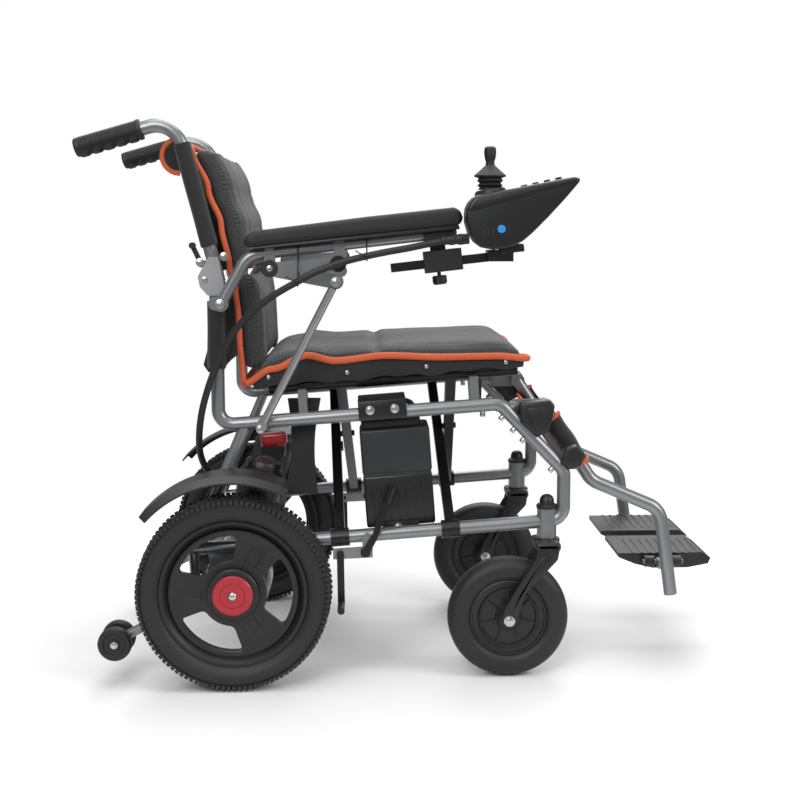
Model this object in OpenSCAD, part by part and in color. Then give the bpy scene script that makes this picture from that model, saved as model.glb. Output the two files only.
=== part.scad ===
// Folding power wheelchair. X runs forward, Y to the sitter's left, Z up; the floor is Z = 0.
// The chair folds in width: crossed braces lift the seat rails and draw the side frames together.

/* [Frame] */
// Distance from the middle plane to each side frame
frame_y = 219; // [195:1:250]
// Outside diameter of the frame tubes
tube_d = 22; // [18:1:25]
// Height of the top side tube above the lower side tube
side_gap = 201; // [180:1:240]
// Height of the seat rail above the top side tube
rail_gap = 51; // [45:1:62]
// Distance from the middle plane to each seat rail
rail_y = 180; // [160:1:183]
// How far the side tubes rise to the front, in degrees
rise = 4; // [2:0.5:6]
// Place of the upright rear post
post_x = -302; // [-312:1:-296]
// Place of the front upright of the side frame
front_x = 261; // [258:1:290]

/* [Back] */
// Height of the folding back above its hinge
back_h = 264; // [215:1:300]
// Lean of the folding back, in degrees
back_lean = 14; // [8:1:18]
// Length of each push grip
grip_l = 112; // [90:1:125]
// Thickness of the back and seat cushions
pad_t = 36; // [28:1:42]

/* [Rear wheels] */
// Outside diameter of the rear tyres
rear_d = 315; // [315:1:378]
// Width of the rear tyres
rear_w = 57; // [44:1:62]
// Place of the rear axle
axle_x = -278; // [-285:1:-265]
// Diameter of the drive shaft
shaft_d = 17; // [12:0.5:24]
// Diameter of the gearbox
gearbox_d = 110; // [90:1:120]
// Diameter of the motor
motor_d = 74; // [60:1:78]

/* [Castors] */
// Outside diameter of the castors
castor_d = 200; // [166:1:240]
// Width of the castor tyres
castor_w = 50; // [38:1:54]
// Distance from the castor stem back to its axle
trail = 64; // [50:1:68]
// Diameter of the castor stem
stem_d = 14; // [10:0.5:18]
// Diameter of the castor axle
castor_axle_d = 8; // [6:0.5:12]

/* [Armrest] */
// Length of the arm pad
arm_l = 342; // [285:1:345]
// Width of the arm pad
arm_w = 42; // [34:1:42]
// Thickness of the arm pad
arm_t = 27; // [20:1:34]
// Height of the arm pivot above the top side tube
arm_pivot_h = 198; // [185:1:200]

/* [Controller] */
// Length of the control box
box_l = 180; // [150:1:190]
// Width of the control box
box_w = 74; // [62:1:90]
// Side of the square mounting bar
bar_s = 14; // [10:1:18]
// Diameter of the joystick knob
stick_d = 19; // [14:1:24]

/* [Leg rest] */
// Distance from the middle plane to each leg tube
leg_y = 187; // [176:1:188]
// Length of a footplate, front to back
plate_l = 158; // [130:1:160]
// Thickness of a footplate
plate_t = 26; // [20:1:28]
// Diameter of the leg-rest pivot pin
leg_pin_d = 10; // [6:0.5:12]

/* [Battery] */
// Length of the battery box
batt_l = 114; // [95:1:118]
// Height of the battery box
batt_h = 164; // [136:1:166]
// Width of the battery box
batt_w = 78; // [65:1:90]

/* [Hidden] */
$fn = 48;

// Fits
run_gap = 0.06;   // radial gap of a turning fit
slip = 0.4;       // gap between faces that pass each other
eps = 0.01;
bend_swell = 0.05; // a bend is this much thicker, so that the runs end inside it
bend_lap = 0.6;    // how far each run reaches into the bend
strap_in = 0.2;    // the straight part of a flat bar is this much inside its round ends
face_in = 0.5;     // a face stops this short of a tube's widest line

// Colours
grey = [0.42, 0.43, 0.45];
black = [0.06, 0.06, 0.065];
silver = [0.72, 0.73, 0.75];
cloth = [0.16, 0.16, 0.17];
red = [0.65, 0.08, 0.10];

// Radii
tube_r = tube_d / 2;
rear_r = rear_d / 2;
castor_r = castor_d / 2;

// Heights of the side tubes at x = 0; the castors carry the front of the frame
stem_x = front_x - 27.5;
housing_r = 16;
housing_h = 49;
housing_z = castor_d + 32;
lower_z0 = housing_z + 27 - stem_x * tan(rise);
side_z0 = lower_z0 + side_gap;
rail_z0 = side_z0 + rail_gap;
function lower_z(x) = lower_z0 + x * tan(rise);
function side_z(x) = side_z0 + x * tan(rise);
function rail_z(x) = rail_z0 + x * tan(rise);

// Side frame corners, as x and z
post_top = [post_x, side_z(post_x) + 220];
rear_corner = [post_x, side_z(post_x)];
knee = [front_x - 106, side_z(front_x - 106)];
shin = [front_x, knee[1] - 111];
toe = [front_x, lower_z(front_x) + 2];
heel = [post_x - 46, lower_z(post_x - 46)];
down_top = [post_x + 44, side_z(post_x + 44)];

// Back hinge and the straight line of the back post above it
hinge = [post_x - 16, post_top[1] + 15];
foot_of_back = [post_x + 5.5, post_top[1] + 12];
function back_at(s, off = 0) = [
  foot_of_back[0] - s * sin(back_lean) + off * cos(back_lean),
  foot_of_back[1] + s * cos(back_lean) + off * sin(back_lean)
];
handle_corner = back_at(back_h);
handle_drop = 15.7;
function handle_at(s) = [
  handle_corner[0] - s * cos(handle_drop), handle_corner[1] - s * sin(handle_drop)
];
handle_end = 166;
grip_r = 16.5;
cheek_t = 3;
down_r = 9;
cheek_in = tube_r + slip;
cheek_out = cheek_in + cheek_t;

// Armrest: a flat run outside the posts, hinged at the rear
arm_slope = 6.2;
arm_tube_r = 9.5;
arm_y = frame_y + 25;
arm_pad_y = frame_y + cheek_out + 2 + arm_w / 2;
arm_pivot = [post_x + 10, side_z(post_x) + arm_pivot_h];
arm_bend = arm_pivot + [44, 77];
function arm_at(x, up = 0) = [x, arm_bend[1] + (x - arm_bend[0]) * tan(arm_slope) + up];
pad_x0 = arm_bend[0] - 4;
arm_front = pad_x0 + arm_l - 8;

// Armrest linkage: strut foot on the frame, link pivot on the arm, and their shared joint
link_arm = [arm_pivot[0] + 79, arm_pivot[1] + 56];
link_tip = [arm_pivot[0] + 183, arm_pivot[1] + 35];
strut_foot = [arm_pivot[0] + 61, side_z(arm_pivot[0] + 61) - 4];
strut_y = frame_y + tube_r + 4;
link_y = arm_y + arm_tube_r + 1;
link_t = 5;
link_pin_r = 4;
latch = link_tip + [4, 28];
latch_r = 3.5;
latch_press = 3;
arm_pin_r = 5;

// Controller, carried on the bar ahead of the arm pad
ctrl_y = arm_pad_y;
ctrl_x = pad_x0 + arm_l + 2;
ctrl_z = arm_at(ctrl_x)[1] + 24;
stick_x = ctrl_x + 42;
stick_z = ctrl_z + 36;
bar_drop = 46;
function bar_at(x) = [x, arm_at(x)[1] - bar_drop];
bar_x0 = ctrl_x - 114;
bar_x1 = ctrl_x + 78;
clamp_x = ctrl_x - 62;
clamp_l = 60;
knob_x = ctrl_x - 56;
key_x = [96, 114, 132, 150];

// Crossed braces, in a frame that rises with the lower tubes
brace_h = (rail_z0 - lower_z0) * cos(rise);
brace_x = [85, -97];
bar_half = 8;
brace_gap = 2;
brace_deep = 22;
sleeve_r = tube_r + 4;
cross_h = brace_h * frame_y / (frame_y + rail_y);
brace_pin_r = 5;
rail_r = 11;
rail_l = 410;

// Seat cloth
sling_t = 3;
sling_drop = 13.5;
seat_half = rail_y + rail_r + 14;
seat_x0 = -229;
seat_len = 446;

// Leg rest
leg_pivot = [knee[0] + 75, knee[1] - 8];
leg_pts = [
  [leg_pivot[0], -leg_y, leg_pivot[1]],
  [leg_pivot[0] + 82, -leg_y, leg_pivot[1] - 126],
  [leg_pivot[0] + 198, -leg_y, leg_pivot[1] - 176],
  [leg_pivot[0] + 219, -leg_y, leg_pivot[1] - 322]
];
leg_lean = atan2(82, 126);
lug_in = frame_y - 15;
lug_t = 5;
plate_z = leg_pivot[1] - 272;
plate_x = leg_pivot[0] + 210;
plate_front = plate_x + 84.7;
plate_in = 20;
flip_y = leg_y - tube_r - 13;
flip_pin_r = 4;

// Wheel lock
shoe_x = axle_x + rear_r + 15;
lock_y = frame_y + tube_r + 4;
lock_t = 4;
lock_drop = 25;
lock_top = lock_drop - sleeve_r - 1.5;
lever_pivot = [shoe_x + 40, lower_z(shoe_x + 40) - lock_drop];
shoe_pivot = [shoe_x - 1, lower_z(shoe_x - 1) - lock_drop];
shoe_drop = 82;
lock_pin_r = 4;

// Rear axle and wheel layers, outward from the side frame
wheel_y = frame_y + 47;
axle = [axle_x, rear_r];
plate_y = frame_y - 6;
axle_plate_t = 6;
rim_r = rear_r - 38.5;
rim_open = rim_r - 18;
hub_r = 42;
hub_w = 46;
gearbox_w = 58;
motor_y = frame_y - 53;
motor_lean = 13;
motor_l = 205;
fender_gap = 35;
fender_t = 3;
fender_in = frame_y + down_r + 0.3;
tipper = [axle_x - 199, 65];
tipper_r = 28;

// Route of the control cable, as x, y, z; its lower end follows the height of the axle
cable_r = 5.5;
route_axle_z = 157.5;
route_top = 506;
route_free = 108;
cable_route = [
  [98, -268, 722], [70, -270, 720], [40, -272, 715], [5, -274, 708], [-30, -277, 702],
  [-60, -280, 696], [-90, -282, 689], [-118, -283, 680], [-144, -283, 670], [-168, -282, 657],
  [-192, -280, 644], [-214, -276, 630], [-234, -271, 615], [-252, -265, 599], [-268, -259, 581],
  [-283, -253, 558], [-296, -248, 533], [-308, -244, 506], [-318, -241, 478], [-326, -237, 450],
  [-331, -231, 424], [-334, -221, 398], [-334, -208, 374], [-329, -195, 352], [-319, -184, 334],
  [-306, -177, 323], [-294, -174, 319]
];
function follow(z) = min(1, max(0, (route_top - z) / route_free));
cable_pts = [for (p = cable_route) p + [0, 0, (rear_r - route_axle_z) * follow(p[2])]];

relief_y = -cable_pts[0][1];
relief_gap = 0.7;

// ---- helpers ----

function unit(v) = v / norm(v);
function xz(p, y) = [p[0], y, p[1]];
function on_line(a, b, t) = a + (b - a) * t;

// A straight round bar between two points in space
module rod(a, b, r) {
  d = b - a;
  translate(a)
    rotate([0, acos(d[2] / norm(d)), atan2(d[1], d[0])])
      cylinder(r = r, h = norm(d));
}

// A round disc or pin along Y at a place given as x and z
module pin_y(p, y0, y1, r) {
  translate([p[0], max(y0, y1), p[1]]) rotate([90, 0, 0]) cylinder(r = r, h = abs(y1 - y0));
}

// A plate whose outline is drawn in x and z
module plate(outline, y0, y1) {
  translate([0, max(y0, y1), 0]) rotate([90, 0, 0]) linear_extrude(abs(y1 - y0)) polygon(outline);
}

// A flat bar with round ends between two places given as x and z
module strap(a, b, r, y0, y1) {
  d = b - a;
  pin_y(a, y0, y1, r);
  pin_y(b, y0, y1, r);
  translate([a[0], 0, a[1]]) rotate([0, -atan2(d[1], d[0]), 0])
    translate([0, min(y0, y1), strap_in - r]) cube([norm(d), abs(y1 - y0), 2 * (r - strap_in)]);
}

// One bend of a tube at corner b, between the runs from a and to c
module bend(a, b, c, r, bend_r) {
  u = unit(b - a);
  v = unit(c - b);
  turn = acos(u * v);
  reach = bend_r * tan(turn / 2);
  start = b - u * reach;
  mid = b + unit(v - u) * bend_r / cos(turn / 2);
  e1 = unit(start - mid);
  e3 = cross(e1, u);
  multmatrix([
    [e1[0], u[0], e3[0], mid[0]],
    [e1[1], u[1], e3[1], mid[1]],
    [e1[2], u[2], e3[2], mid[2]],
    [0, 0, 0, 1]
  ]) rotate_extrude(angle = turn) translate([bend_r, 0]) circle(r = r + bend_swell);
}

// How much of each run a bend takes up
function bend_reach(a, b, c, bend_r) = bend_r * tan(acos(unit(b - a) * unit(c - b)) / 2);

// A bent tube through the given points, with one bend radius
module bent_tube(pts, r, bend_r) {
  n = len(pts);
  for (i = [0 : n - 2]) {
    cut0 = i == 0 ? 0 : bend_reach(pts[i - 1], pts[i], pts[i + 1], bend_r) - bend_lap;
    cut1 = i == n - 2 ? 0 : bend_reach(pts[i], pts[i + 1], pts[i + 2], bend_r) - bend_lap;
    u = unit(pts[i + 1] - pts[i]);
    rod(pts[i] + u * cut0, pts[i + 1] - u * cut1, r);
  }
  for (i = [1 : n - 2]) bend(pts[i - 1], pts[i], pts[i + 1], r, bend_r);
}

// The frame that rises with the lower tubes
module risen() {
  translate([0, 0, lower_z0]) rotate([0, -rise, 0]) children();
}

module left() {
  mirror([0, 1, 0]) children();
}

// ---- side frame ----

module side_loop() {
  y = -frame_y;
  bent_tube([xz(post_top, y), xz(rear_corner, y), xz(knee, y), xz(shin, y), xz(toe, y),
    [stem_x, y, lower_z(stem_x)]], tube_r, 24);
  rod([stem_x, y, lower_z(stem_x)], xz(heel, y), tube_r);
  rod(xz(down_top, y), xz(heel, y), down_r);
}

// Tube that drops behind the wheel to the anti-tip wheels
module tipper_arm() {
  y = -frame_y;
  bent_tube([xz(heel, y), [heel[0] + 4, y, tipper[1] + 68], xz(tipper, y)], 8, 30);
  pin_y(tipper, y - 14, y + 14, 4);
}

module axle_plate() {
  y = -frame_y;
  difference() {
    plate([[axle_x - 48, lower_z(axle_x) - 2], [axle_x + 62, lower_z(axle_x) + 6],
      [axle_x + 40, rear_r - 40], [axle_x - 34, rear_r - 40]], y + 3, y + 3 + axle_plate_t);
    pin_y(axle, y, y + 20, shaft_d / 2 + 3);
  }
}

module rail_saddle(x) {
  top = brace_h - rail_r * 0.3;
  risen() difference() {
    translate([x - 7, -frame_y, side_gap * cos(rise) - 2])
      cube([14, frame_y - rail_y + 14, top - side_gap * cos(rise) + 2]);
    translate([x - 8, -rail_y, brace_h]) rotate([0, 90, 0]) cylinder(r = rail_r + slip, h = 16);
  }
}

module leg_lug() {
  y = -lug_in;
  difference() {
    union() {
      strap([knee[0] + 30, knee[1] - 8], leg_pivot, 14, y - lug_t, y);
      rod([knee[0] + 12, -frame_y, knee[1] - 8], [knee[0] + 30, y - 2, knee[1] - 8], 11);
    }
    pin_y(leg_pivot, y - 20, y + 20, leg_pin_d / 2 + run_gap);
  }
}

module arm_lugs() {
  out = -frame_y - tube_r - 3;
  strap([post_x, arm_pivot[1]], arm_pivot, 11, out, out + 7);
  pin_y(strut_foot, out, out + 9, 10);
}

module lock_plate() {
  difference() {
    union() {
      plate([shoe_pivot + [-12, -9], lever_pivot + [12, -9], lever_pivot + [12, lock_drop],
        lever_pivot + [-5, lock_drop], lever_pivot + [-5, lock_top], shoe_pivot + [-12, lock_top]],
        -lock_y, -lock_y + lock_t);
      pin_y(lever_pivot + [3.5, lock_drop - 1], -lock_y, -frame_y, 7);
    }
    for (p = [lever_pivot, shoe_pivot]) pin_y(p, -lock_y - 5, -lock_y + 9, lock_pin_r + run_gap);
  }
}

module frame_side() {
  color(grey) {
    difference() {
      union() {
        side_loop();
        translate([stem_x, -frame_y, housing_z]) cylinder(r = housing_r, h = housing_h);
        arm_lugs();
      }
      translate([stem_x, -frame_y, housing_z - 1])
        cylinder(r = stem_d / 2 + run_gap, h = housing_h + 2);
      pin_y(arm_pivot, -frame_y - 40, -frame_y - tube_r + 7, arm_pin_r + run_gap);
      pin_y(strut_foot, -frame_y - 40, -frame_y - tube_r + 7, link_pin_r + run_gap);
    }
    tipper_arm();
    axle_plate();
    for (x = [130, -150]) rail_saddle(x);
    leg_lug();
    lock_plate();
  }
}

// ---- wheels ----

module fender() {
  in_r = rear_r + fender_gap;
  fender_w = wheel_y + rear_w / 2 + 6 - fender_in;
  color(black) translate([axle_x, 0, rear_r]) rotate([90, 0, 0]) {
    // crown over the tyre, with an outer lip
    translate([0, 0, fender_in]) rotate([0, 0, 62])
      rotate_extrude(angle = 76, $fn = 96) polygon([
        [in_r, 0], [in_r + fender_t, 0], [in_r + fender_t, fender_w - 5],
        [in_r - 8, fender_w], [in_r - 8 - fender_t, fender_w - 2], [in_r, fender_w - 6]]);
    // stay that stands against the side frame
    translate([0, 0, fender_in]) rotate([0, 0, 88])
      rotate_extrude(angle = 14) translate([in_r - 24, 0]) square([26, 3]);
  }
}

module rear_tyre() {
  w = rear_w / 2;
  color(black) translate([axle_x, -wheel_y, rear_r]) rotate([90, 0, 0])
    rotate_extrude($fn = 96) polygon(concat(
      [[rim_r + slip, -w * 0.62], [rim_r + slip, w * 0.62]],
      [for (a = [60 : -12 : -60]) [rear_r - 30 + 30 * cos(a) ^ 0.6, w * sin(a) / sin(60) * 0.999]]
    ));
}

// Sector of a disc, used to open the wheel between its spokes
module sector(r0, r1, from, to, h) {
  mid = (from + to) / 2;
  intersection() {
    difference() {
      cylinder(r = r1, h = h, center = true);
      cylinder(r = r0, h = h + 2, center = true);
    }
    linear_extrude(h + 1, center = true)
      polygon([[0, 0], 2 * r1 * [cos(from), sin(from)], 2 * r1 * [cos(mid), sin(mid)],
        2 * r1 * [cos(to), sin(to)]]);
  }
}

module rear_wheel() {
  y = -wheel_y;
  color(black) {
    translate([axle_x, y, rear_r]) rotate([90, 0, 0]) {
      difference() {
        union() {
          cylinder(r = rim_r, h = rear_w * 0.6, center = true, $fn = 96);
          cylinder(r = hub_r, h = hub_w, center = true);
        }
        for (face = [-1, 1]) translate([0, 0, face * rear_w * 0.42])
          difference() {
            cylinder(r = rim_open, h = rear_w * 0.42, center = true, $fn = 96);
            cylinder(r = hub_r - 6, h = rear_w, center = true);
          }
        for (a = [0, 120, 240]) sector(hub_r + 8, rim_open - 6, a - 38, a + 38, rear_w);
      }
      // shaft into the gearbox and the nut that holds the wheel
      translate([0, 0, -hub_w / 2 - 62]) cylinder(r = shaft_d / 2, h = 64);
      translate([0, 0, hub_w / 2 - 1]) cylinder(r = 32, h = 9);
      translate([0, 0, hub_w / 2 + 7]) cylinder(r = 7.5, h = 4, $fn = 6);
    }
  }
}

module drive_unit() {
  // a gearbox that reaches the side tube sits inboard of it
  under_tube = rear_r + gearbox_d / 2 < lower_z(axle_x) - tube_r / 2;
  y = max(-plate_y + axle_plate_t / 2, under_tube ? -frame_y : -frame_y + tube_r) + 0.5;
  start = [axle_x, -motor_y, rear_r];
  tip = start + motor_l * [sin(motor_lean), 0, cos(motor_lean)];
  gland = on_line(start, tip, 0.80);
  color(silver) difference() {
    union() {
      pin_y(axle, y, y + gearbox_w, gearbox_d / 2);
      pin_y(axle, y + gearbox_w - 1, y + gearbox_w + 10, gearbox_d / 2 - 14);
      rod(start, tip, motor_d / 2);
      // cable gland on the back of the motor
      rod(gland - [20, 0, 0], gland - [motor_d / 2 + 14, 8, -2], 8);
    }
    pin_y(axle, y - 1, y + 34, shaft_d / 2 + run_gap);
  }
}

module castor_fork() {
  crown_z = housing_z - 1;
  leg_in = castor_w / 2 + 3;
  ax = [stem_x - trail, castor_r];
  color(black) difference() {
    union() {
      for (s = [-1, 1])
        plate([[stem_x - 24, crown_z - 20], [stem_x - 18, crown_z], [stem_x + 20, crown_z],
          [stem_x + 17, crown_z - 28], ax + [13, 4], ax + [4, -13], ax + [-9, -10], ax + [-14, 0]],
          -frame_y + s * leg_in, -frame_y + s * (leg_in + 7));
      translate([stem_x - 24, -frame_y - leg_in - 7, crown_z - 14])
        cube([43, 2 * leg_in + 14, 14]);
      translate([stem_x, -frame_y, crown_z - 1]) cylinder(r = stem_d / 2, h = housing_h + 12);
      // dome cap over the housing
      translate([stem_x, -frame_y, housing_z + housing_h + 0.6]) {
        cylinder(r = housing_r, h = 5);
        translate([0, 0, 4]) cylinder(r1 = housing_r - 3, r2 = 7, h = 18);
      }
    }
    pin_y(ax, -frame_y - 60, -frame_y + 60, castor_axle_d / 2 + run_gap);
  }
}

module castor_wheel() {
  w = castor_w / 2;
  ax = [stem_x - trail, castor_r];
  hub_side = w + 2.6;
  color(black) {
    translate([ax[0], -frame_y, ax[1]]) rotate([90, 0, 0])
      difference() {
        rotate_extrude($fn = 96) polygon(concat(
          [[castor_r * 0.62, -w * 0.7], [castor_r * 0.62, w * 0.7]],
          [for (a = [75 : -15 : -75]) [castor_r - w * 0.8 + w * 0.8 * cos(a) ^ 0.7,
            w * sin(a) / sin(75)]]));
        cylinder(r = 5, h = 3 * w, center = true);
      }
    translate([ax[0], -frame_y, ax[1]]) rotate([90, 0, 0]) {
      difference() {
        cylinder(r = castor_r * 0.62 + 1, h = w * 1.3, center = true, $fn = 96);
        for (s = [-1, 1]) translate([0, 0, s * w * 0.65]) difference() {
          cylinder(r = castor_r * 0.47, h = w * 0.9, center = true);
          cylinder(r = 18, h = w * 2, center = true);
          for (i = [0 : 6]) rotate([0, 0, i * 360 / 7])
            translate([0, -2, -w]) cube([castor_r, 4, 2 * w]);
        }
      }
      cylinder(r = 15, h = 2 * hub_side, center = true);
      cylinder(r = castor_axle_d / 2, h = 2 * w + 28, center = true);
      for (s = [-1, 1]) translate([0, 0, s * (w + 13)]) cylinder(r = 7, h = 5, center = true, $fn = 6);
    }
  }
}

module tipper_wheels() {
  y = -frame_y;
  color(black) difference() {
    union() {
      for (s = [-1, 1]) pin_y(tipper, y + s * 11, y + s * 29, tipper_r);
    }
    pin_y(tipper, y - 14.5, y + 14.5, 4 + run_gap);
  }
}

// ---- back ----

module back_post() {
  y = -frame_y;
  end = handle_at(handle_end - 4);
  color(grey) difference() {
    union() {
      bent_tube([xz(back_at(0), y), xz(handle_corner, y), xz(end, y)], tube_r, 42);
      strap(back_at(7), hinge, 9, y - tube_r + face_in, y + tube_r - face_in);
      strap(back_at(34), back_at(34, -20), 5, y - 6.5, y + 6.5);
    }
    pin_y(hinge, y - 20, y + 20, 4 + run_gap);
    // slot and bore for the release lever
    translate([back_at(34, -13)[0], y, back_at(34, -13)[1]]) cube([30, 7, 22], center = true);
    pin_y(back_at(34, -20), y - 20, y + 20, 2.5 + run_gap);
    translate([0, y - 50, 0]) plate([[post_x - 30, post_top[1] - 20], [post_x + 30, post_top[1] - 20],
      [post_x + 30, post_top[1] + 1.5], [post_x - 30, post_top[1] + 1.5]], 0, 100);
  }
}

module grip() {
  y = -frame_y;
  a = handle_at(handle_end - grip_l);
  b = handle_at(handle_end);
  step = grip_l / 5;
  color(black) difference() {
    union() {
      rod(xz(a, y), xz(b, y), grip_r - 2);
      for (i = [0 : 4]) {
        p = handle_at(handle_end - grip_l + step * i + 2);
        q = handle_at(handle_end - grip_l + step * i + step - 2);
        rod(xz(p, y), xz(q, y), grip_r);
      }
    }
    rod(xz(handle_at(handle_end - grip_l - 5), y), xz(handle_at(handle_end - 4), y), tube_r);
  }
}

module hinge_bracket() {
  y = -frame_y;
  z = post_top[1];
  color(silver) {
    difference() {
      union() {
        for (s = [-1, 1])
          plate([[post_x - 12, z - 9], [post_x + 13, z - 9], [post_x + 15, z + 6],
            [post_x + 6, z + 52], [post_x - 10, z + 52], [hinge[0] - 11, hinge[1] + 6],
            [hinge[0] - 8, hinge[1] - 10]], y + s * cheek_in, y + s * cheek_out);
        // saddle round the top of the lower post
        translate([post_x, y, z - 9]) cylinder(r = cheek_out - face_in, h = 9);
      }
      translate([post_x, y, z - 30]) cylinder(r = tube_r + eps, h = 90);
    }
    pin_y(hinge, y - cheek_out - 0.8, y + cheek_out + 1.5, 4);
  }
}

module release_lever() {
  y = -frame_y;
  p = back_at(34, -20);
  color(black) {
    strap(p, p + [-14, 30], 4, y - 3, y + 3);
    pin_y(p, y - 6.5, y + 6.5, 2.5);
    pin_y(p + [-14, 30], y - 7, y + 7, 5);
  }
}

// ---- armrest ----

module arm_tube() {
  y = -arm_y;
  front = arm_at(arm_front);
  low = on_line(arm_pivot, arm_bend, 0.06);
  color(grey) difference() {
    union() {
      bent_tube([xz(low, y), xz(arm_bend, y), xz(front, y)], arm_tube_r, 34);
      pin_y(arm_pivot, -frame_y - tube_r - 3.5, y - arm_tube_r + face_in, 12);
      pin_y(arm_pivot, -frame_y - tube_r + 4, y, 5);
      // ear for the link, under the tube
      strap(arm_at(link_arm[0]), link_arm, 9, y - arm_tube_r + face_in, y - arm_tube_r + 5);
      strap(arm_at(latch[0] + 2), latch, 9, y - arm_tube_r + face_in, y - arm_tube_r + 5);
    }
    pin_y(link_arm, y - 20, y, 4 + run_gap);
    pin_y(latch, y - 20, y, latch_r + run_gap);
  }
}

module arm_pad() {
  a = arm_at(pad_x0, arm_tube_r + 0.3);
  h = arm_w / 2;
  color(black) translate([a[0], -arm_pad_y, a[1]]) rotate([0, -arm_slope, 0])
    rotate([90, 0, 90]) linear_extrude(arm_l)
      polygon([[-h + 4, 0], [h - 4, 0], [h, 4], [h, arm_t - 9], [h - 9, arm_t],
        [-h + 9, arm_t], [-h, arm_t - 9], [-h, 4]]);
}

module arm_link() {
  y = -link_y;
  color([0.2, 0.2, 0.21]) {
    difference() {
      union() {
        strap(link_arm, link_tip, 12, y, y - link_t);
        strap(link_arm, latch, 10, y, y - link_t);
      }
      pin_y(latch, y + 5, y - 20, latch_r + run_gap);
    }
    pin_y(link_arm, y + 5.8, y - link_t + eps, link_pin_r);
  }
}

module arm_strut() {
  y = -link_y - link_t - 0.5;
  foot_y = -strut_y;
  color([0.75, 0.76, 0.78]) {
    difference() {
      rod(
        xz(on_line(strut_foot, link_tip, 0.03), foot_y - 6),
        xz(on_line(strut_foot, link_tip, 0.96), y - 6),
        6.5
      );
      pin_y(link_tip, -link_y + 5, y, 30);
    }
    pin_y(strut_foot, foot_y, foot_y - 12, 9);
    pin_y(strut_foot, foot_y + 8, foot_y - 1, 4);
    pin_y(link_tip, y, y - 12, 9);
  }
}

module arm_button() {
  out = -link_y - link_t;
  color(red) {
    pin_y(latch, -link_y - slip, out - latch_press - 0.5, latch_r);
    pin_y(latch, out - latch_press - 0.4, out - latch_press - 4, 5.5);
  }
}

// ---- controller ----

module controller() {
  h = box_w / 2;
  x = ctrl_x;
  z = ctrl_z;
  color(black) difference() {
    union() {
      // deep hull at the rear, running up to a thin tip
      plate([[x, z + 4], [x + 10, z - 42], [x + 28, z - 54], [x + 70, z - 54], [x + 89, z - 46],
        [x + box_l + 3, z + 48], [x + box_l - 6, z + 60], [x + 100, z + 44],
        [x + 66, z + 36], [x + 20, z + 34], [x + 5, z + 22]], -ctrl_y - h, -ctrl_y + h);
      translate([stick_x, -ctrl_y, stick_z - 16]) cylinder(r = 26, h = 18);
      // strain relief of the cable
      rod([x + 24, -relief_y, z - 36.5], [cable_pts[0][0] + relief_gap, -relief_y, z - 36.5], 8);
    }
    // well for the stick and the four key pockets
    translate([stick_x, -ctrl_y, stick_z - 14]) cylinder(r = 15, h = 30);
    for (kx = key_x) key_place(kx) translate([0, 0, -5]) cylinder(r = 5.4, h = 12);
  }
}

module key_place(kx) {
  slope = atan2(16, 74);
  translate([ctrl_x + kx, -ctrl_y, ctrl_z + 44 + (kx - 100) * tan(slope)]) rotate([0, -slope, 0])
    children();
}

module joystick() {
  color(black) translate([stick_x, -ctrl_y, stick_z]) {
    translate([0, 0, -11]) cylinder(r = 5, h = 60);
    // cross pin that the stick tilts on
    rotate([90, 0, 0]) cylinder(r = 3, h = 22, center = true);
    // ribbed gaiter under a flared skirt
    for (i = [0 : 2]) translate([0, 0, 9 + i * 5]) cylinder(r1 = 14 + i, r2 = 11.5 + i, h = 5);
    translate([0, 0, 23.9]) cylinder(r1 = 24, r2 = 12, h = 6);
    translate([0, 0, 29]) cylinder(r1 = 8, r2 = 7, h = 14);
    translate([0, 0, 42]) cylinder(r1 = 7.5, r2 = stick_d / 2, h = 4);
    translate([0, 0, 46 - eps]) cylinder(r = stick_d / 2, h = 24);
  }
}

module key(kx) {
  color([0.15, 0.15, 0.16]) key_place(kx) translate([0, 0, -1.5]) cylinder(r = 5, h = 5.5);
}

module mount_bar() {
  a = bar_at(bar_x0);
  l = (bar_x1 - bar_x0) / cos(arm_slope);
  color(black) {
    translate([a[0], -arm_y, a[1]]) rotate([0, -arm_slope, 0])
      translate([0, -bar_s / 2, -bar_s / 2]) cube([l, bar_s, bar_s]);
    // plate under the control box
    translate([ctrl_x + 38, -ctrl_y - 16, ctrl_z - 72]) cube([40, 44, 17.6]);
  }
}

module bar_clamp() {
  a = arm_at(clamp_x);
  w = bar_s / 2 + slip;
  color(black) translate([a[0], -arm_y, a[1]]) rotate([0, -arm_slope, 0]) difference() {
    union() {
      translate([0, -17, -16]) cube([clamp_l - 12, 34, 24]);
      translate([-4, -17, -bar_drop - 14]) cube([clamp_l, 34, 34]);
      translate([8, -6, -bar_drop + 18]) cube([24, 12, 14]);
    }
    translate([-6, 0, 0]) rotate([0, 90, 0]) cylinder(r = arm_tube_r + eps, h = clamp_l + 10);
    translate([-10, -18, 2]) cube([clamp_l + 20, 36, 20]);
    translate([-10, -w, -bar_drop * cos(arm_slope) - w]) cube([clamp_l + 20, 2 * w, 2 * w]);
    translate([knob_x + 12 - clamp_x, 0, -bar_drop - 20]) cylinder(r = 3 + run_gap, h = 14);
  }
}

module clamp_knob() {
  a = arm_at(clamp_x);
  color(black) translate([a[0], -arm_y, a[1]]) rotate([0, -arm_slope, 0])
    translate([knob_x + 12 - clamp_x, 0, -bar_drop]) {
      translate([0, 0, -20]) cylinder(r = 3, h = 12);
      translate([0, 0, -34]) cylinder(r = 10, h = 14);
      for (i = [0 : 5]) rotate([0, 0, 60 * i]) translate([8.5, 0, -32]) cylinder(r = 3, h = 11);
    }
}

// ---- crossed braces and cloth ----

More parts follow.
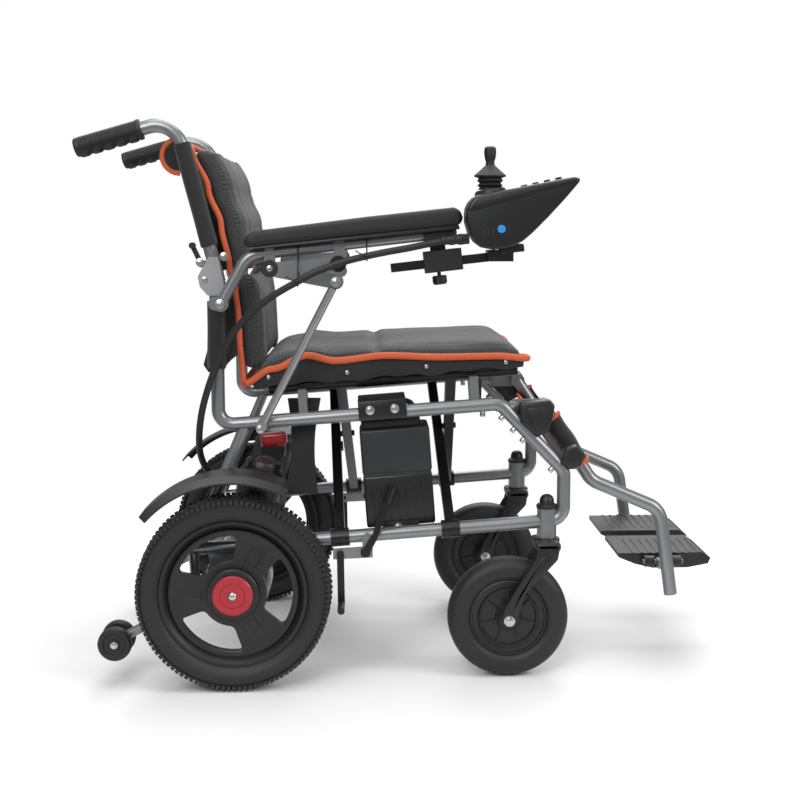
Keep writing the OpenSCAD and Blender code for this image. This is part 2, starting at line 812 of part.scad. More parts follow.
// One brace: a sleeve on the right lower tube, two bars and the left seat rail
module brace(side) {
  lean = atan2(brace_h, frame_y + rail_y);
  l = norm([brace_h, frame_y + rail_y]);
  color(black) risen() difference() {
    union() {
      for (x = brace_x) {
        shift = x - side * (bar_half + brace_gap);
        translate([shift, -frame_y, 0]) rotate([lean, 0, 0])
          translate([-bar_half, tube_r, -brace_deep / 2]) cube([2 * bar_half, l - tube_r, brace_deep]);
        translate([shift - 15, -frame_y, 0]) rotate([0, 90, 0]) cylinder(r = sleeve_r, h = 30);
      }
      translate([-rail_l / 2, rail_y, brace_h]) rotate([0, 90, 0]) cylinder(r = rail_r, h = rail_l);
    }
    translate([-rail_l, -frame_y, 0]) rotate([0, 90, 0]) cylinder(r = tube_r + run_gap, h = 2 * rail_l);
    if (side < 0)
      for (x = brace_x) translate([x - 1, 0, cross_h]) rotate([0, 90, 0])
        cylinder(r = brace_pin_r + run_gap, h = 40);
  }
}

module brace_a() {
  brace(1);
  color(black) risen() for (x = brace_x) translate([x - 4, 0, cross_h]) rotate([0, 90, 0]) {
    cylinder(r = brace_pin_r, h = 27);
    translate([22.4, 0, 0]) cylinder(r = 9, h = 5, $fn = 6);
  }
}

module brace_b() {
  left() brace(-1);
}

module seat_sling() {
  z = brace_h + rail_r + slip;
  x0 = -rail_l / 2 + 4;
  h = rail_y + rail_r + 2;
  color(black) risen() {
    translate([x0, -h, z]) cube([rail_l - 8, 2 * h, sling_t]);
    for (s = [-1, 1]) translate([x0, s > 0 ? h - 2 : -h, z - sling_drop])
      cube([rail_l - 8, 2, sling_drop + eps]);
  }
}

module seat_pad() {
  z = brace_h + rail_r + slip + sling_t + 0.3;
  color(cloth) risen() translate([seat_x0, 0, z]) linear_extrude(pad_t)
    translate([18, -seat_half + 18]) offset(18) square([seat_len - 36, 2 * seat_half - 36]);
}

module back_pad_lower() {
  x = post_x + 30;
  z0 = rail_z(x) + rail_r + sling_t + pad_t + 6;
  h = seat_half - 6;
  color(cloth) plate([[x, z0], [x + pad_t, z0 + 2], [x + pad_t - 6, hinge[1] + 6], [x - 8, hinge[1] + 6]],
    -h, h);
}

module back_pad_upper() {
  h = seat_half - 6;
  a = back_at(12, 24);
  b = back_at(12, 24 + pad_t);
  top = back_h - 48;
  front = back_at(top, 24 + pad_t);
  edge = back_at(top + 16, 24 + pad_t - 12);
  color(cloth) plate([a, b, front, edge, back_at(top + 16, 24)], -h, h);
}

// ---- battery ----

module battery() {
  near = frame_y - tube_r - 2;
  x0 = -62;
  z0 = 8;
  top = side_gap * cos(rise);
  color(black) risen() {
    translate([x0, -near, z0]) cube([batt_l, batt_w, batt_h]);
    // upper hanger over the top side tube
    difference() {
      translate([x0 + 8, -frame_y - tube_r - 4, top - 22]) cube([78, 2 * tube_r + 14, tube_r + 42]);
      translate([x0 - 10, -frame_y, top]) rotate([0, 90, 0]) cylinder(r = tube_r + eps, h = batt_l + 20);
      translate([x0 - 10, -frame_y - 6 - tube_r, top + tube_r + 9]) cube([120, 6 + tube_r, 60]);
    }
    // lower hanger over the lower side tube, clear of the wheel-lock plate
    difference() {
      translate([max(x0 + 16, shoe_x + 59.5), -frame_y - tube_r - 4, -6]) cube([56, 2 * tube_r + 10, 20]);
      translate([x0 - 10, -frame_y, 0]) rotate([0, 90, 0]) cylinder(r = tube_r + eps, h = batt_l + 20);
    }
  }
}

// ---- leg rest ----

module leg_tube() {
  knuckle_out = -lug_in + slip;
  color(grey) {
    bent_tube(leg_pts, tube_r, 38);
    pin_y(leg_pivot, knuckle_out, -leg_y + tube_r - 2, 13);
    pin_y(leg_pivot, -lug_in - lug_t - 3, -leg_y, leg_pin_d / 2);
    // block and journal that carry the footplate, inboard of the tube
    translate([plate_x - 12, -leg_y, plate_z - 7]) cube([24, leg_y - flip_y, 14]);
    rod([plate_x - 34, -flip_y, plate_z], [plate_x + 34, -flip_y, plate_z], flip_pin_r);
  }
}

module footplate() {
  z = plate_z - 4;
  x1 = plate_front;
  x0 = x1 - plate_l;
  edge = -flip_y + 11;
  t = plate_t;
  color(black) {
    difference() {
      union() {
        plate([[x0, z + t * 0.35], [x0, z + t * 0.62], [x1 - 14, z + t * 0.62], [x1, z + t * 0.25],
          [x1 - 4, z - t * 0.12], [x1 - 40, z - t * 0.38], [x1 - 100, z - t * 0.38],
          [x1 - 130, z - t * 0.1]], edge, -plate_in);
        // knuckles ahead of and behind the block on the leg tube
        for (s = [-1, 1]) {
          c = plate_x + s * 23;
          rod([c - 8, -flip_y, plate_z], [c + 8, -flip_y, plate_z], 9);
          translate([c - 8, -flip_y, plate_z - 8.8]) cube([16, 15, 17.6]);
        }
      }
      rod([plate_x - 50, -flip_y, plate_z], [plate_x + 50, -flip_y, plate_z], flip_pin_r + run_gap);
    }
  }
}

module calf_strap() {
  // a flat loop round both leg tubes
  half = leg_y + tube_r + 3;
  mid = (leg_pts[0] + leg_pts[1]) / 2;
  color(black) translate([mid[0], 0, mid[2]]) rotate([0, 180 - leg_lean, 0])
    translate([0, 0, -38]) linear_extrude(80) difference() {
      translate([-tube_r - 3, -half]) square([2 * tube_r + 6, 2 * half]);
      translate([-tube_r - 0.5, -half + 2.5]) square([2 * tube_r + 1, 2 * half - 5]);
    }
}

// ---- wheel lock ----

module brake_lever() {
  y = -lock_y - 0.5;
  color(black) {
    plate([lever_pivot + [-7, 0], lever_pivot + [5, -5], lever_pivot + [20, 24], lever_pivot + [44, 96],
      lever_pivot + [36, 99], lever_pivot + [11, 29]], y, y - 4);
    pin_y(lever_pivot, y, y - 5, 8);
    rod(xz(lever_pivot + [36, 84], y - 2), xz(lever_pivot + [44, 108], y - 2), 8);
    pin_y(lever_pivot, y + lock_t + 1, y - 1, lock_pin_r);
  }
}

module brake_shoe() {
  y = -lock_y - 0.5;
  low = shoe_pivot + [1, -shoe_drop];
  color(black) {
    strap(shoe_pivot, low, 6, y, y - 4);
    pin_y(shoe_pivot, y + lock_t + 1, y - 1, lock_pin_r);
    pin_y(low, y, -wheel_y - rear_w * 0.3, 6);
  }
}

// ---- cable ----

// A round tube swept through the points, one ring at each
module swept(pts, r, sides) {
  n = len(pts);
  function dir(i) = unit(pts[min(i + 1, n - 1)] - pts[max(i - 1, 0)]);
  function across(i) = unit(cross(dir(i), [0, 1, 0.2]));
  function ring(i) = [for (k = [0 : sides - 1])
    pts[i] + r * (cos(360 * k / sides) * across(i)
      + sin(360 * k / sides) * cross(dir(i), across(i)))];
  polyhedron(
    points = [for (i = [0 : n - 1]) each ring(i)],
    faces = concat(
      [[for (k = [0 : sides - 1]) k]],
      [for (i = [0 : n - 2]) for (k = [0 : sides - 1])
        [i * sides + k, (i + 1) * sides + k, (i + 1) * sides + (k + 1) % sides,
          i * sides + (k + 1) % sides]],
      [[for (k = [0 : sides - 1]) n * sides - 1 - k]]));
}

module control_cable() {
  color(black) swept(cable_pts, cable_r, 10);
}

frame_side();  // frame_r
left() frame_side();  // frame_l
fender();  // fender_r
left() fender();  // fender_l
rear_tyre();  // rear_tyre_r
left() rear_tyre();  // rear_tyre_l
rear_wheel();  // rear_wheel_r
left() rear_wheel();  // rear_wheel_l
drive_unit();  // drive_unit_r
left() drive_unit();  // drive_unit_l
castor_fork();  // castor_fork_r
left() castor_fork();  // castor_fork_l
castor_wheel();  // castor_wheel_r
left() castor_wheel();  // castor_wheel_l
tipper_wheels();  // tipper_wheels_r
left() tipper_wheels();  // tipper_wheels_l
back_post();  // back_post_r
left() back_post();  // back_post_l
grip();  // grip_r
left() grip();  // grip_l
hinge_bracket();  // hinge_bracket_r
left() hinge_bracket();  // hinge_bracket_l
release_lever();  // release_lever_r
left() release_lever();  // release_lever_l
arm_tube();  // arm_tube_r
left() arm_tube();  // arm_tube_l
arm_pad();  // arm_pad_r
left() arm_pad();  // arm_pad_l
arm_link();  // arm_link_r
left() arm_link();  // arm_link_l
arm_strut();  // arm_strut_r
left() arm_strut();  // arm_strut_l
arm_button();  // arm_button_r
left() arm_button();  // arm_button_l
controller();
joystick();
key(key_x[0]);  // key_1
key(key_x[1]);  // key_2
key(key_x[2]);  // key_3
key(key_x[3]);  // key_4
mount_bar();
bar_clamp();
clamp_knob();
brace_a();
brace_b();
seat_sling();
seat_pad();
back_pad_lower();
back_pad_upper();
battery();
leg_tube();  // leg_tube_r
left() leg_tube();  // leg_tube_l
footplate();  // footplate_r
left() footplate();  // footplate_l
calf_strap();
brake_lever();  // brake_lever_r
left() brake_lever();  // brake_lever_l
brake_shoe();  // brake_shoe_r
left() brake_shoe();  // brake_shoe_l
control_cable();
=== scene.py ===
import math

import bpy
from mathutils import Matrix, Vector


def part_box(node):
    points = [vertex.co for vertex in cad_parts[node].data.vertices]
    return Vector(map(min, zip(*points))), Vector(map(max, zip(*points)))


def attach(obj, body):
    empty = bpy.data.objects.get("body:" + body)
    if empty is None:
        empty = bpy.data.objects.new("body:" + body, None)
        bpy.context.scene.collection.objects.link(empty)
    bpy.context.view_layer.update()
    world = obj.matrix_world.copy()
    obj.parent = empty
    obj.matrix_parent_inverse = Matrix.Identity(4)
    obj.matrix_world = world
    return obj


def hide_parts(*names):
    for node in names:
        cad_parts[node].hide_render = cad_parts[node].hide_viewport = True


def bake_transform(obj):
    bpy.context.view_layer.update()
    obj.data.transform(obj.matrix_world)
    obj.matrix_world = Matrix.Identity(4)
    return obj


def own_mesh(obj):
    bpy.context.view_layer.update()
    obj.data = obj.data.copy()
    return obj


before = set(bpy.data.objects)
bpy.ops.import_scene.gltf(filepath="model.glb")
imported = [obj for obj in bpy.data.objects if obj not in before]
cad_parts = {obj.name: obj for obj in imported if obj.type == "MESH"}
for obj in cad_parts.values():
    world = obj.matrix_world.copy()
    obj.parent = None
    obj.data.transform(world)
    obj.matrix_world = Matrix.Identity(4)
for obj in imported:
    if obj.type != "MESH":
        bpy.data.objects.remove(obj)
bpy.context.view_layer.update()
MM = 0.001
RISE = math.radians(4)  # the side tubes climb toward the front
BACK_LEAN = math.radians(14)  # the back posts lean backward
FRAME_Y = 219  # the middle of each side frame's tubes
SIDES = (("r", -1), ("l", 1))

# ---- camera and light ----


def aim_camera():
    """A camera at the chair's right side, a little above the armrest, turned slightly forward."""
    yaw, pitch, roll = 0.0272, 0.1278, -0.0039
    ahead = Vector((math.sin(yaw) * math.cos(pitch), math.cos(yaw) * math.cos(pitch), -math.sin(pitch)))
    across = Vector((math.cos(yaw), -math.sin(yaw), 0))
    upward = across.cross(ahead)
    side = math.cos(roll) * across + math.sin(roll) * upward
    top = -math.sin(roll) * across + math.cos(roll) * upward
    bpy.ops.object.camera_add()
    camera = bpy.context.object
    camera.name = "view_camera"
    camera.data.lens = 61.1
    camera.data.sensor_width = 36
    turn = Matrix((side, top, -ahead)).transposed().to_4x4()
    camera.matrix_world = Matrix.Translation((-0.0671, -2.407, 0.743)) @ turn
    bpy.context.scene.camera = camera


def soft_light(name, place, target, size, power):
    bpy.ops.object.light_add(type="AREA", location=place)
    lamp = bpy.context.object
    lamp.name = name
    lamp.data.size = size
    lamp.data.energy = power
    lamp.rotation_euler = (Vector(target) - Vector(place)).to_track_quat("-Z", "Y").to_euler()


aim_camera()
soft_light("light_front", (-1.2, -3.2, 2.6), (0, 0, 0.45), 2.2, 85)
soft_light("light_fore", (2.6, -1.6, 1.9), (0, 0, 0.45), 1.6, 45)
soft_light("light_back", (0.4, 2.8, 2.8), (0, 0, 0.5), 2.4, 70)
soft_light("light_top", (0, 0, 3.2), (0, 0, 0.3), 2.6, 55)
sky = bpy.data.worlds.new("studio")
sky.use_nodes = True
backdrop = sky.node_tree.nodes["Background"]
backdrop.inputs["Color"].default_value = (1, 1, 1, 1)
seen = sky.node_tree.nodes.new("ShaderNodeLightPath")
strength = sky.node_tree.nodes.new("ShaderNodeMapRange")
strength.inputs["To Min"].default_value = 0.34
strength.inputs["To Max"].default_value = 1.0
sky.node_tree.links.new(seen.outputs["Is Camera Ray"], strength.inputs["Value"])
sky.node_tree.links.new(strength.outputs["Result"], backdrop.inputs["Strength"])
bpy.context.scene.world = sky
bpy.context.scene.view_settings.view_transform = "Standard"

# ---- shared shader groups ----


def put(tree, kind, values=None, **settings):
    """A shader node with its settings, and its inputs set or joined by name or number."""
    node = tree.nodes.new(kind)
    for key, value in settings.items():
        setattr(node, key, value)
    for key, value in (values or {}).items():
        socket = node.inputs[key]
        if isinstance(value, bpy.types.NodeSocket):
            tree.links.new(value, socket)
        else:
            socket.default_value = value
    return node


def sums(tree, operation, first, second=0.0, third=0.0):
    return put(tree, "ShaderNodeMath", {0: first, 1: second, 2: third}, operation=operation).outputs[0]


def group(name, inputs, outputs):
    """An empty shader group with number inputs (or a vector), and its first nodes."""
    tree = bpy.data.node_groups.new(name, "ShaderNodeTree")
    for title, kind, value in inputs:
        socket = tree.interface.new_socket(name=title, in_out="INPUT", socket_type=kind)
        if value is not None:
            socket.default_value = value
    for title, kind in outputs:
        tree.interface.new_socket(name=title, in_out="OUTPUT", socket_type=kind)
    return tree, tree.nodes.new("NodeGroupInput"), tree.nodes.new("NodeGroupOutput")


NUMBER, VECTOR = "NodeSocketFloat", "NodeSocketVector"


def make_grain():
    """Fine moulded grain: a height for bump, and a slow change of tone."""
    tree, start, end = group("grain", [("Scale", NUMBER, 400.0)], [("Height", NUMBER), ("Tone", NUMBER)])
    place = put(tree, "ShaderNodeTexCoord").outputs["Object"]
    cells = put(tree, "ShaderNodeTexVoronoi", {"Vector": place, "Scale": start.outputs["Scale"]})
    fine = put(tree, "ShaderNodeTexNoise", {"Vector": place, "Scale": start.outputs["Scale"],
                                            "Detail": 3.0})
    slow = put(tree, "ShaderNodeTexNoise", {"Vector": place, "Scale": 9.0, "Detail": 4.0})
    height = sums(tree, "MULTIPLY_ADD", cells.outputs["Distance"], 0.6, fine.outputs["Fac"])
    tree.links.new(height, end.inputs["Height"])
    tree.links.new(slow.outputs["Fac"], end.inputs["Tone"])
    return tree


def make_wear():
    """Thin scratches and rubbed spots, as a mask."""
    tree, start, end = group("wear", [("Amount", NUMBER, 0.3)], [("Mask", NUMBER)])
    place = put(tree, "ShaderNodeTexCoord").outputs["Object"]
    stretched = put(tree, "ShaderNodeMapping", {"Vector": place, "Scale": (40, 260, 70)}).outputs[0]
    lines = put(tree, "ShaderNodeTexNoise", {"Vector": stretched, "Scale": 1.0, "Detail": 5.0})
    where = put(tree, "ShaderNodeTexNoise", {"Vector": place, "Scale": 14.0, "Detail": 3.0})
    both = sums(tree, "MULTIPLY", lines.outputs["Fac"], where.outputs["Fac"])
    level = sums(tree, "SUBTRACT", 0.52, sums(tree, "MULTIPLY", start.outputs["Amount"], 0.25))
    mask = put(tree, "ShaderNodeMapRange", {"Value": both, "From Min": level,
                                            "From Max": sums(tree, "ADD", level, 0.05)}).outputs["Result"]
    tree.links.new(mask, end.inputs["Mask"])
    return tree


def make_dust():
    """Dust that settles on faces that look up."""
    tree, start, end = group("dust", [("Amount", NUMBER, 0.3)], [("Mask", NUMBER)])
    facing = put(tree, "ShaderNodeNewGeometry").outputs["Normal"]
    up = put(tree, "ShaderNodeSeparateXYZ", {"Vector": facing}).outputs["Z"]
    place = put(tree, "ShaderNodeTexCoord").outputs["Object"]
    patches = put(tree, "ShaderNodeTexNoise", {"Vector": place, "Scale": 28.0, "Detail": 6.0})
    level = put(tree, "ShaderNodeMapRange", {"Value": up, "From Min": 0.2,
                                             "From Max": 1.0}).outputs["Result"]
    mask = sums(tree, "MULTIPLY", sums(tree, "MULTIPLY", level, patches.outputs["Fac"]),
                start.outputs["Amount"])
    tree.links.new(mask, end.inputs["Mask"])
    return tree


def make_herringbone():
    """Slanted strokes that change direction from column to column, from a place in metres."""
    tree, start, end = group(
        "herringbone",
        [("Vector", VECTOR, None), ("Column", NUMBER, 0.009), ("Pitch", NUMBER, 0.0042)],
        [("Thread", NUMBER), ("Height", NUMBER)],
    )
    axes = put(tree, "ShaderNodeSeparateXYZ", {"Vector": start.outputs["Vector"]})
    column = sums(tree, "DIVIDE", axes.outputs["Y"], start.outputs["Column"])
    slant = sums(tree, "PINGPONG", column, 1.0)
    rows = sums(tree, "DIVIDE", axes.outputs["X"], start.outputs["Pitch"])
    phase = sums(tree, "ADD", rows, sums(tree, "MULTIPLY", slant, 1.4))
    stroke = sums(tree, "PINGPONG", phase, 0.5)
    thread = put(tree, "ShaderNodeMapRange", {"Value": stroke, "From Min": 0.16,
                                              "From Max": 0.34}).outputs["Result"]
    crease = put(tree, "ShaderNodeMapRange", {"Value": sums(tree, "PINGPONG", column, 0.5),
                                              "From Min": 0.0, "From Max": 0.12}).outputs["Result"]
    height = sums(tree, "MULTIPLY", thread, sums(tree, "MULTIPLY_ADD", crease, 0.6, 0.4))
    tree.links.new(height, end.inputs["Thread"])
    tree.links.new(sums(tree, "MULTIPLY", stroke, 2.0), end.inputs["Height"])
    return tree


def make_twill():
    """Fine diagonal cloth."""
    tree, start, end = group("twill", [("Vector", VECTOR, None), ("Pitch", NUMBER, 0.0016)],
                             [("Thread", NUMBER)])
    axes = put(tree, "ShaderNodeSeparateXYZ", {"Vector": start.outputs["Vector"]})
    one = sums(tree, "DIVIDE", sums(tree, "ADD", axes.outputs["X"], axes.outputs["Z"]),
               start.outputs["Pitch"])
    two = sums(tree, "DIVIDE", sums(tree, "ADD", axes.outputs["Y"], axes.outputs["Z"]),
               start.outputs["Pitch"])
    both = sums(tree, "MULTIPLY", sums(tree, "PINGPONG", one, 0.5), sums(tree, "PINGPONG", two, 0.5))
    tree.links.new(sums(tree, "MULTIPLY", both, 4.0), end.inputs["Thread"])
    return tree


GRAIN, WEAR, DUST = make_grain(), make_wear(), make_dust()
HERRINGBONE, TWILL = make_herringbone(), make_twill()


def effect(tree, shared, values):
    """A node that uses a shared group."""
    return put(tree, "ShaderNodeGroup", values, node_tree=shared)


def rgb(*values):
    return (*values, 1.0)


def mix(tree, factor, first, second):
    """A blend of two colours."""
    return put(tree, "ShaderNodeMix", {0: factor, 6: first, 7: second}, data_type="RGBA").outputs[2]


def blank(name):
    material = bpy.data.materials.new(name)
    material.use_nodes = True
    tree = material.node_tree
    return material, tree, tree.nodes["Principled BSDF"]


def hard_finish(name, dark, light, metal, rough, grain=420.0, bump=0.06, wear=0.25, worn=None, dust=0.2,
                coat=0.0, specular=0.5):
    """A painted, moulded or cast finish: two tones, grain, wear and dust."""
    material, tree, shader = blank(name)
    fine = effect(tree, GRAIN, {"Scale": grain})
    scratch = effect(tree, WEAR, {"Amount": wear})
    settled = effect(tree, DUST, {"Amount": dust})
    tone = mix(tree, fine.outputs["Tone"], rgb(*dark), rgb(*light))
    rubbed = mix(tree, scratch.outputs["Mask"], tone,
                 rgb(*(worn or [min(1, c * 1.8 + 0.02) for c in light])))
    dusty = mix(tree, settled.outputs["Mask"], rubbed, rgb(0.42, 0.40, 0.37))
    tree.links.new(dusty, shader.inputs["Base Color"])
    roughness = sums(tree, "MULTIPLY_ADD", fine.outputs["Tone"], 0.16, rough - 0.08)
    tree.links.new(sums(tree, "ADD", roughness, sums(tree, "MULTIPLY", settled.outputs["Mask"], 0.3)),
                   shader.inputs["Roughness"])
    shader.inputs["Metallic"].default_value = metal
    shader.inputs["Coat Weight"].default_value = coat
    shader.inputs["Specular IOR Level"].default_value = specular
    relief = put(tree, "ShaderNodeBump", {"Height": fine.outputs["Height"], "Strength": bump,
                                          "Distance": 0.0006})
    tree.links.new(relief.outputs["Normal"], shader.inputs["Normal"])
    return material


def mesh_cloth(name, dark, light):
    """Padded spacer mesh in herringbone, on the piece's own map in metres."""
    material, tree, shader = blank(name)
    where = put(tree, "ShaderNodeUVMap").outputs["UV"]
    bone = effect(tree, HERRINGBONE, {"Vector": where})
    fine = effect(tree, GRAIN, {"Scale": 900.0})
    strokes = mix(tree, bone.outputs["Thread"], rgb(*dark), rgb(*light))
    tone = mix(tree, sums(tree, "MULTIPLY", fine.outputs["Tone"], 0.5), strokes,
               rgb(*[c * 0.6 for c in light]))
    tree.links.new(tone, shader.inputs["Base Color"])
    tree.links.new(sums(tree, "MULTIPLY_ADD", fine.outputs["Tone"], 0.15, 0.72), shader.inputs["Roughness"])
    shader.inputs["Sheen Weight"].default_value = 0.25
    shader.inputs["Sheen Roughness"].default_value = 0.4
    height = sums(tree, "MULTIPLY_ADD", fine.outputs["Height"], 0.15, bone.outputs["Height"])
    relief = put(tree, "ShaderNodeBump", {"Height": height, "Strength": 0.7, "Distance": 0.0012})
    tree.links.new(relief.outputs["Normal"], shader.inputs["Normal"])
    return material


def plain_cloth(name, dark, light, pitch=0.0016, sheen=0.2):
    """Woven tape, web or cover cloth."""
    material, tree, shader = blank(name)
    place = put(tree, "ShaderNodeTexCoord").outputs["Object"]
    weave = effect(tree, TWILL, {"Vector": place, "Pitch": pitch})
    fine = effect(tree, GRAIN, {"Scale": 700.0})
    threads = mix(tree, weave.outputs["Thread"], rgb(*dark), rgb(*light))
    tone = mix(tree, sums(tree, "MULTIPLY", fine.outputs["Tone"], 0.35), threads,
               rgb(*[c * 0.5 for c in dark]))
    tree.links.new(tone, shader.inputs["Base Color"])
    tree.links.new(sums(tree, "MULTIPLY_ADD", fine.outputs["Tone"], 0.15, 0.7), shader.inputs["Roughness"])
    shader.inputs["Sheen Weight"].default_value = sheen
    relief = put(tree, "ShaderNodeBump", {"Height": weave.outputs["Thread"], "Strength": 0.5,
                                          "Distance": 0.0005})
    tree.links.new(relief.outputs["Normal"], shader.inputs["Normal"])
    return material


PAINT = hard_finish("frame_grey", (0.20, 0.205, 0.215), (0.27, 0.275, 0.285), 0.7, 0.34, 1500, 0.03, 0.2,
                    coat=0.25, dust=0.1)
STRUT = hard_finish("strut_grey", (0.27, 0.275, 0.285), (0.34, 0.345, 0.355), 0.7, 0.34, 1500, 0.03, 0.2,
                    dust=0.1)
BLACK_PAINT = hard_finish("black_steel", (0.006, 0.006, 0.0065), (0.012, 0.012, 0.013), 0.3, 0.32, 1500,
                          0.02, 0.2, worn=(0.05, 0.05, 0.05), dust=0.05)
PLASTIC = hard_finish("moulded_black", (0.005, 0.0052, 0.0055), (0.009, 0.0093, 0.0098), 0.0, 0.42, 900,
                      0.12, 0.2, worn=(0.05, 0.05, 0.05), dust=0.06)
SHELL = hard_finish("control_shell", (0.004, 0.0042, 0.0045), (0.007, 0.0073, 0.0077), 0.0, 0.36, 1400,
                    0.10, 0.15, worn=(0.04, 0.04, 0.04), dust=0.05)
RUBBER = hard_finish("tyre_black", (0.006, 0.0063, 0.0063), (0.011, 0.0113, 0.011), 0.0, 0.58, 300, 0.15,
                     0.2, worn=(0.05, 0.05, 0.045), dust=0.1)
SOFT = hard_finish("soft_rubber", (0.005, 0.005, 0.005), (0.010, 0.010, 0.0098), 0.0, 0.55, 700, 0.15, 0.15,
                   worn=(0.05, 0.05, 0.05), dust=0.08)
CAST = hard_finish("cast_alloy", (0.30, 0.305, 0.31), (0.42, 0.425, 0.43), 0.85, 0.42, 500, 0.25, 0.3,
                   dust=0.1)
STEEL = hard_finish("bright_steel", (0.45, 0.455, 0.46), (0.62, 0.625, 0.63), 1.0, 0.24, 1200, 0.03, 0.2,
                    dust=0.05)
RED = hard_finish("red_cap", (0.30, 0.012, 0.02), (0.42, 0.02, 0.03), 0.0, 0.38, 900, 0.05, 0.15, dust=0.05)
LENS = hard_finish("reflector_red", (0.35, 0.004, 0.006), (0.5, 0.01, 0.012), 0.0, 0.15, 250, 0.2, 0.05,
                   coat=0.6)
BLUE = hard_finish("blue_button", (0.02, 0.20, 0.55), (0.03, 0.28, 0.65), 0.0, 0.3, 900, 0.04, 0.1)
FOAM = hard_finish("arm_foam", (0.003, 0.003, 0.0033), (0.006, 0.006, 0.0064), 0.0, 0.6, 520, 0.3, 0.15,
                   worn=(0.03, 0.03, 0.03), dust=0.06)
CASE = hard_finish("battery_case", (0.005, 0.0052, 0.0055), (0.009, 0.0093, 0.0097), 0.0, 0.34, 1100, 0.1,
                   0.2, worn=(0.05, 0.05, 0.05), dust=0.05)
LID = hard_finish("battery_cover", (0.012, 0.013, 0.014), (0.019, 0.0205, 0.022), 0.0, 0.42, 1100, 0.1, 0.2,
                  worn=(0.08, 0.08, 0.08), dust=0.05)
MESH_CLOTH = mesh_cloth("mesh_herringbone", (0.006, 0.0062, 0.0068), (0.062, 0.064, 0.068))
WEB = plain_cloth("black_web", (0.005, 0.005, 0.0055), (0.012, 0.012, 0.013))
BINDING = plain_cloth("orange_binding", (0.55, 0.085, 0.022), (0.80, 0.16, 0.045), 0.0022, 0.1)
FLOOR = hard_finish("studio_floor", (0.86, 0.86, 0.86), (0.88, 0.88, 0.88), 0.0, 0.8, 60, 0.0, 0.0,
                    worn=(0.88, 0.88, 0.88), dust=0.0)


def fade_out(material, inner, outer):
    """Lets the floor melt into the white studio beyond the light."""
    tree = material.node_tree
    place = put(tree, "ShaderNodeTexCoord").outputs["Object"]
    reach = put(tree, "ShaderNodeVectorMath", {0: place}, operation="LENGTH")
    fade = put(tree, "ShaderNodeMapRange", {"Value": reach.outputs["Value"], "From Min": inner,
                                            "From Max": outer, "To Min": 1.0, "To Max": 0.0},
                                            interpolation_type="SMOOTHSTEP")
    shader = next(n for n in tree.nodes if n.type == "BSDF_PRINCIPLED")
    tree.links.new(fade.outputs["Result"], shader.inputs["Alpha"])


fade_out(FLOOR, 0.75, 1.5)
bpy.ops.mesh.primitive_plane_add(size=8, location=(0, 0, -0.0005))
bpy.context.object.name = "studio_floor"
bpy.context.object.data.materials.append(FLOOR)

# ---- modelling helpers; every length is in millimetres ----


def only(piece):
    bpy.ops.object.select_all(action="DESELECT")
    piece.select_set(True)
    bpy.context.view_layer.objects.active = piece


def settle(piece, name, finish=None, angle=35):
    """Applies modifiers and place, and leaves the finished mesh at the origin."""
    only(piece)
    for change in list(piece.modifiers):
        bpy.ops.object.modifier_apply(modifier=change.name)
    bpy.ops.object.transform_apply(location=True, rotation=True, scale=True)
    piece.name = name
    piece.data.name = name
    if finish is not None:
        piece.data.materials.clear()
        piece.data.materials.append(finish)
    if angle:
        bpy.ops.object.shade_smooth_by_angle(angle=math.radians(angle))
    return piece


def give(piece, body, slot, *nodes):
    """Puts a finished piece on its body and hides the nodes it stands for; the slot is not used."""
    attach(piece, body)
    if nodes:
        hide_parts(*nodes)
    return piece


def trace(points):
    """A chain of edges through the points, left in edit mode with all of it selected."""
    spots = [Vector(p) * MM for p in points]
    bpy.ops.object.select_all(action="DESELECT")
    bpy.ops.mesh.primitive_plane_add(size=0.001, location=spots[0])
    piece = bpy.context.object
    bpy.ops.object.transform_apply(location=True, rotation=False, scale=False)
    bpy.ops.object.mode_set(mode="EDIT")
    bpy.ops.mesh.merge(type="CENTER")
    for here, there in zip(spots, spots[1:]):
        bpy.ops.mesh.extrude_vertices_move(TRANSFORM_OT_translate={"value": there - here})
    bpy.ops.mesh.select_all(action="SELECT")
    return piece


def close_up():
    """Merges doubles and turns the faces outward, then leaves edit mode."""
    bpy.ops.mesh.select_all(action="SELECT")
    bpy.ops.mesh.remove_doubles(threshold=1e-6)
    bpy.ops.mesh.normals_make_consistent(inside=False)
    bpy.ops.object.mode_set(mode="OBJECT")


def soften(piece, width, segments=2, angle=32):
    change = piece.modifiers.new("soften", "BEVEL")
    change.width = width * MM
    change.segments = segments
    change.limit_method = "ANGLE"
    change.angle_limit = math.radians(angle)
    change.use_clamp_overlap = True
    return piece


def turned(profile, centre, axis=(0, 1, 0), steps=64):
    """A lathe shape. The profile is pairs of radius and distance along the axis from the centre."""
    along = Vector(axis).normalized()
    out = Vector((0, 0, 1)) if abs(along.z) < 0.5 else Vector((1, 0, 0))
    out = (out - along * out.dot(along)).normalized()
    centre = Vector(centre)
    piece = trace([centre + out * max(r, 0.0) + along * t for r, t in profile])
    bpy.ops.mesh.spin(steps=steps, angle=2 * math.pi, center=centre * MM, axis=along)
    close_up()
    return piece


def slab(outline, y0, y1, bevel=0.0, segments=2):
    """A plate whose outline is drawn in x and z, between two places along y."""
    piece = trace([(x, y0, z) for x, z in [*outline, outline[0]]])
    bpy.ops.mesh.remove_doubles(threshold=1e-6)
    bpy.ops.mesh.select_all(action="SELECT")
    bpy.ops.mesh.edge_face_add()
    bpy.ops.mesh.extrude_region_move(TRANSFORM_OT_translate={"value": (0, (y1 - y0) * MM, 0)})
    close_up()
    return soften(piece, bevel, segments) if bevel else piece


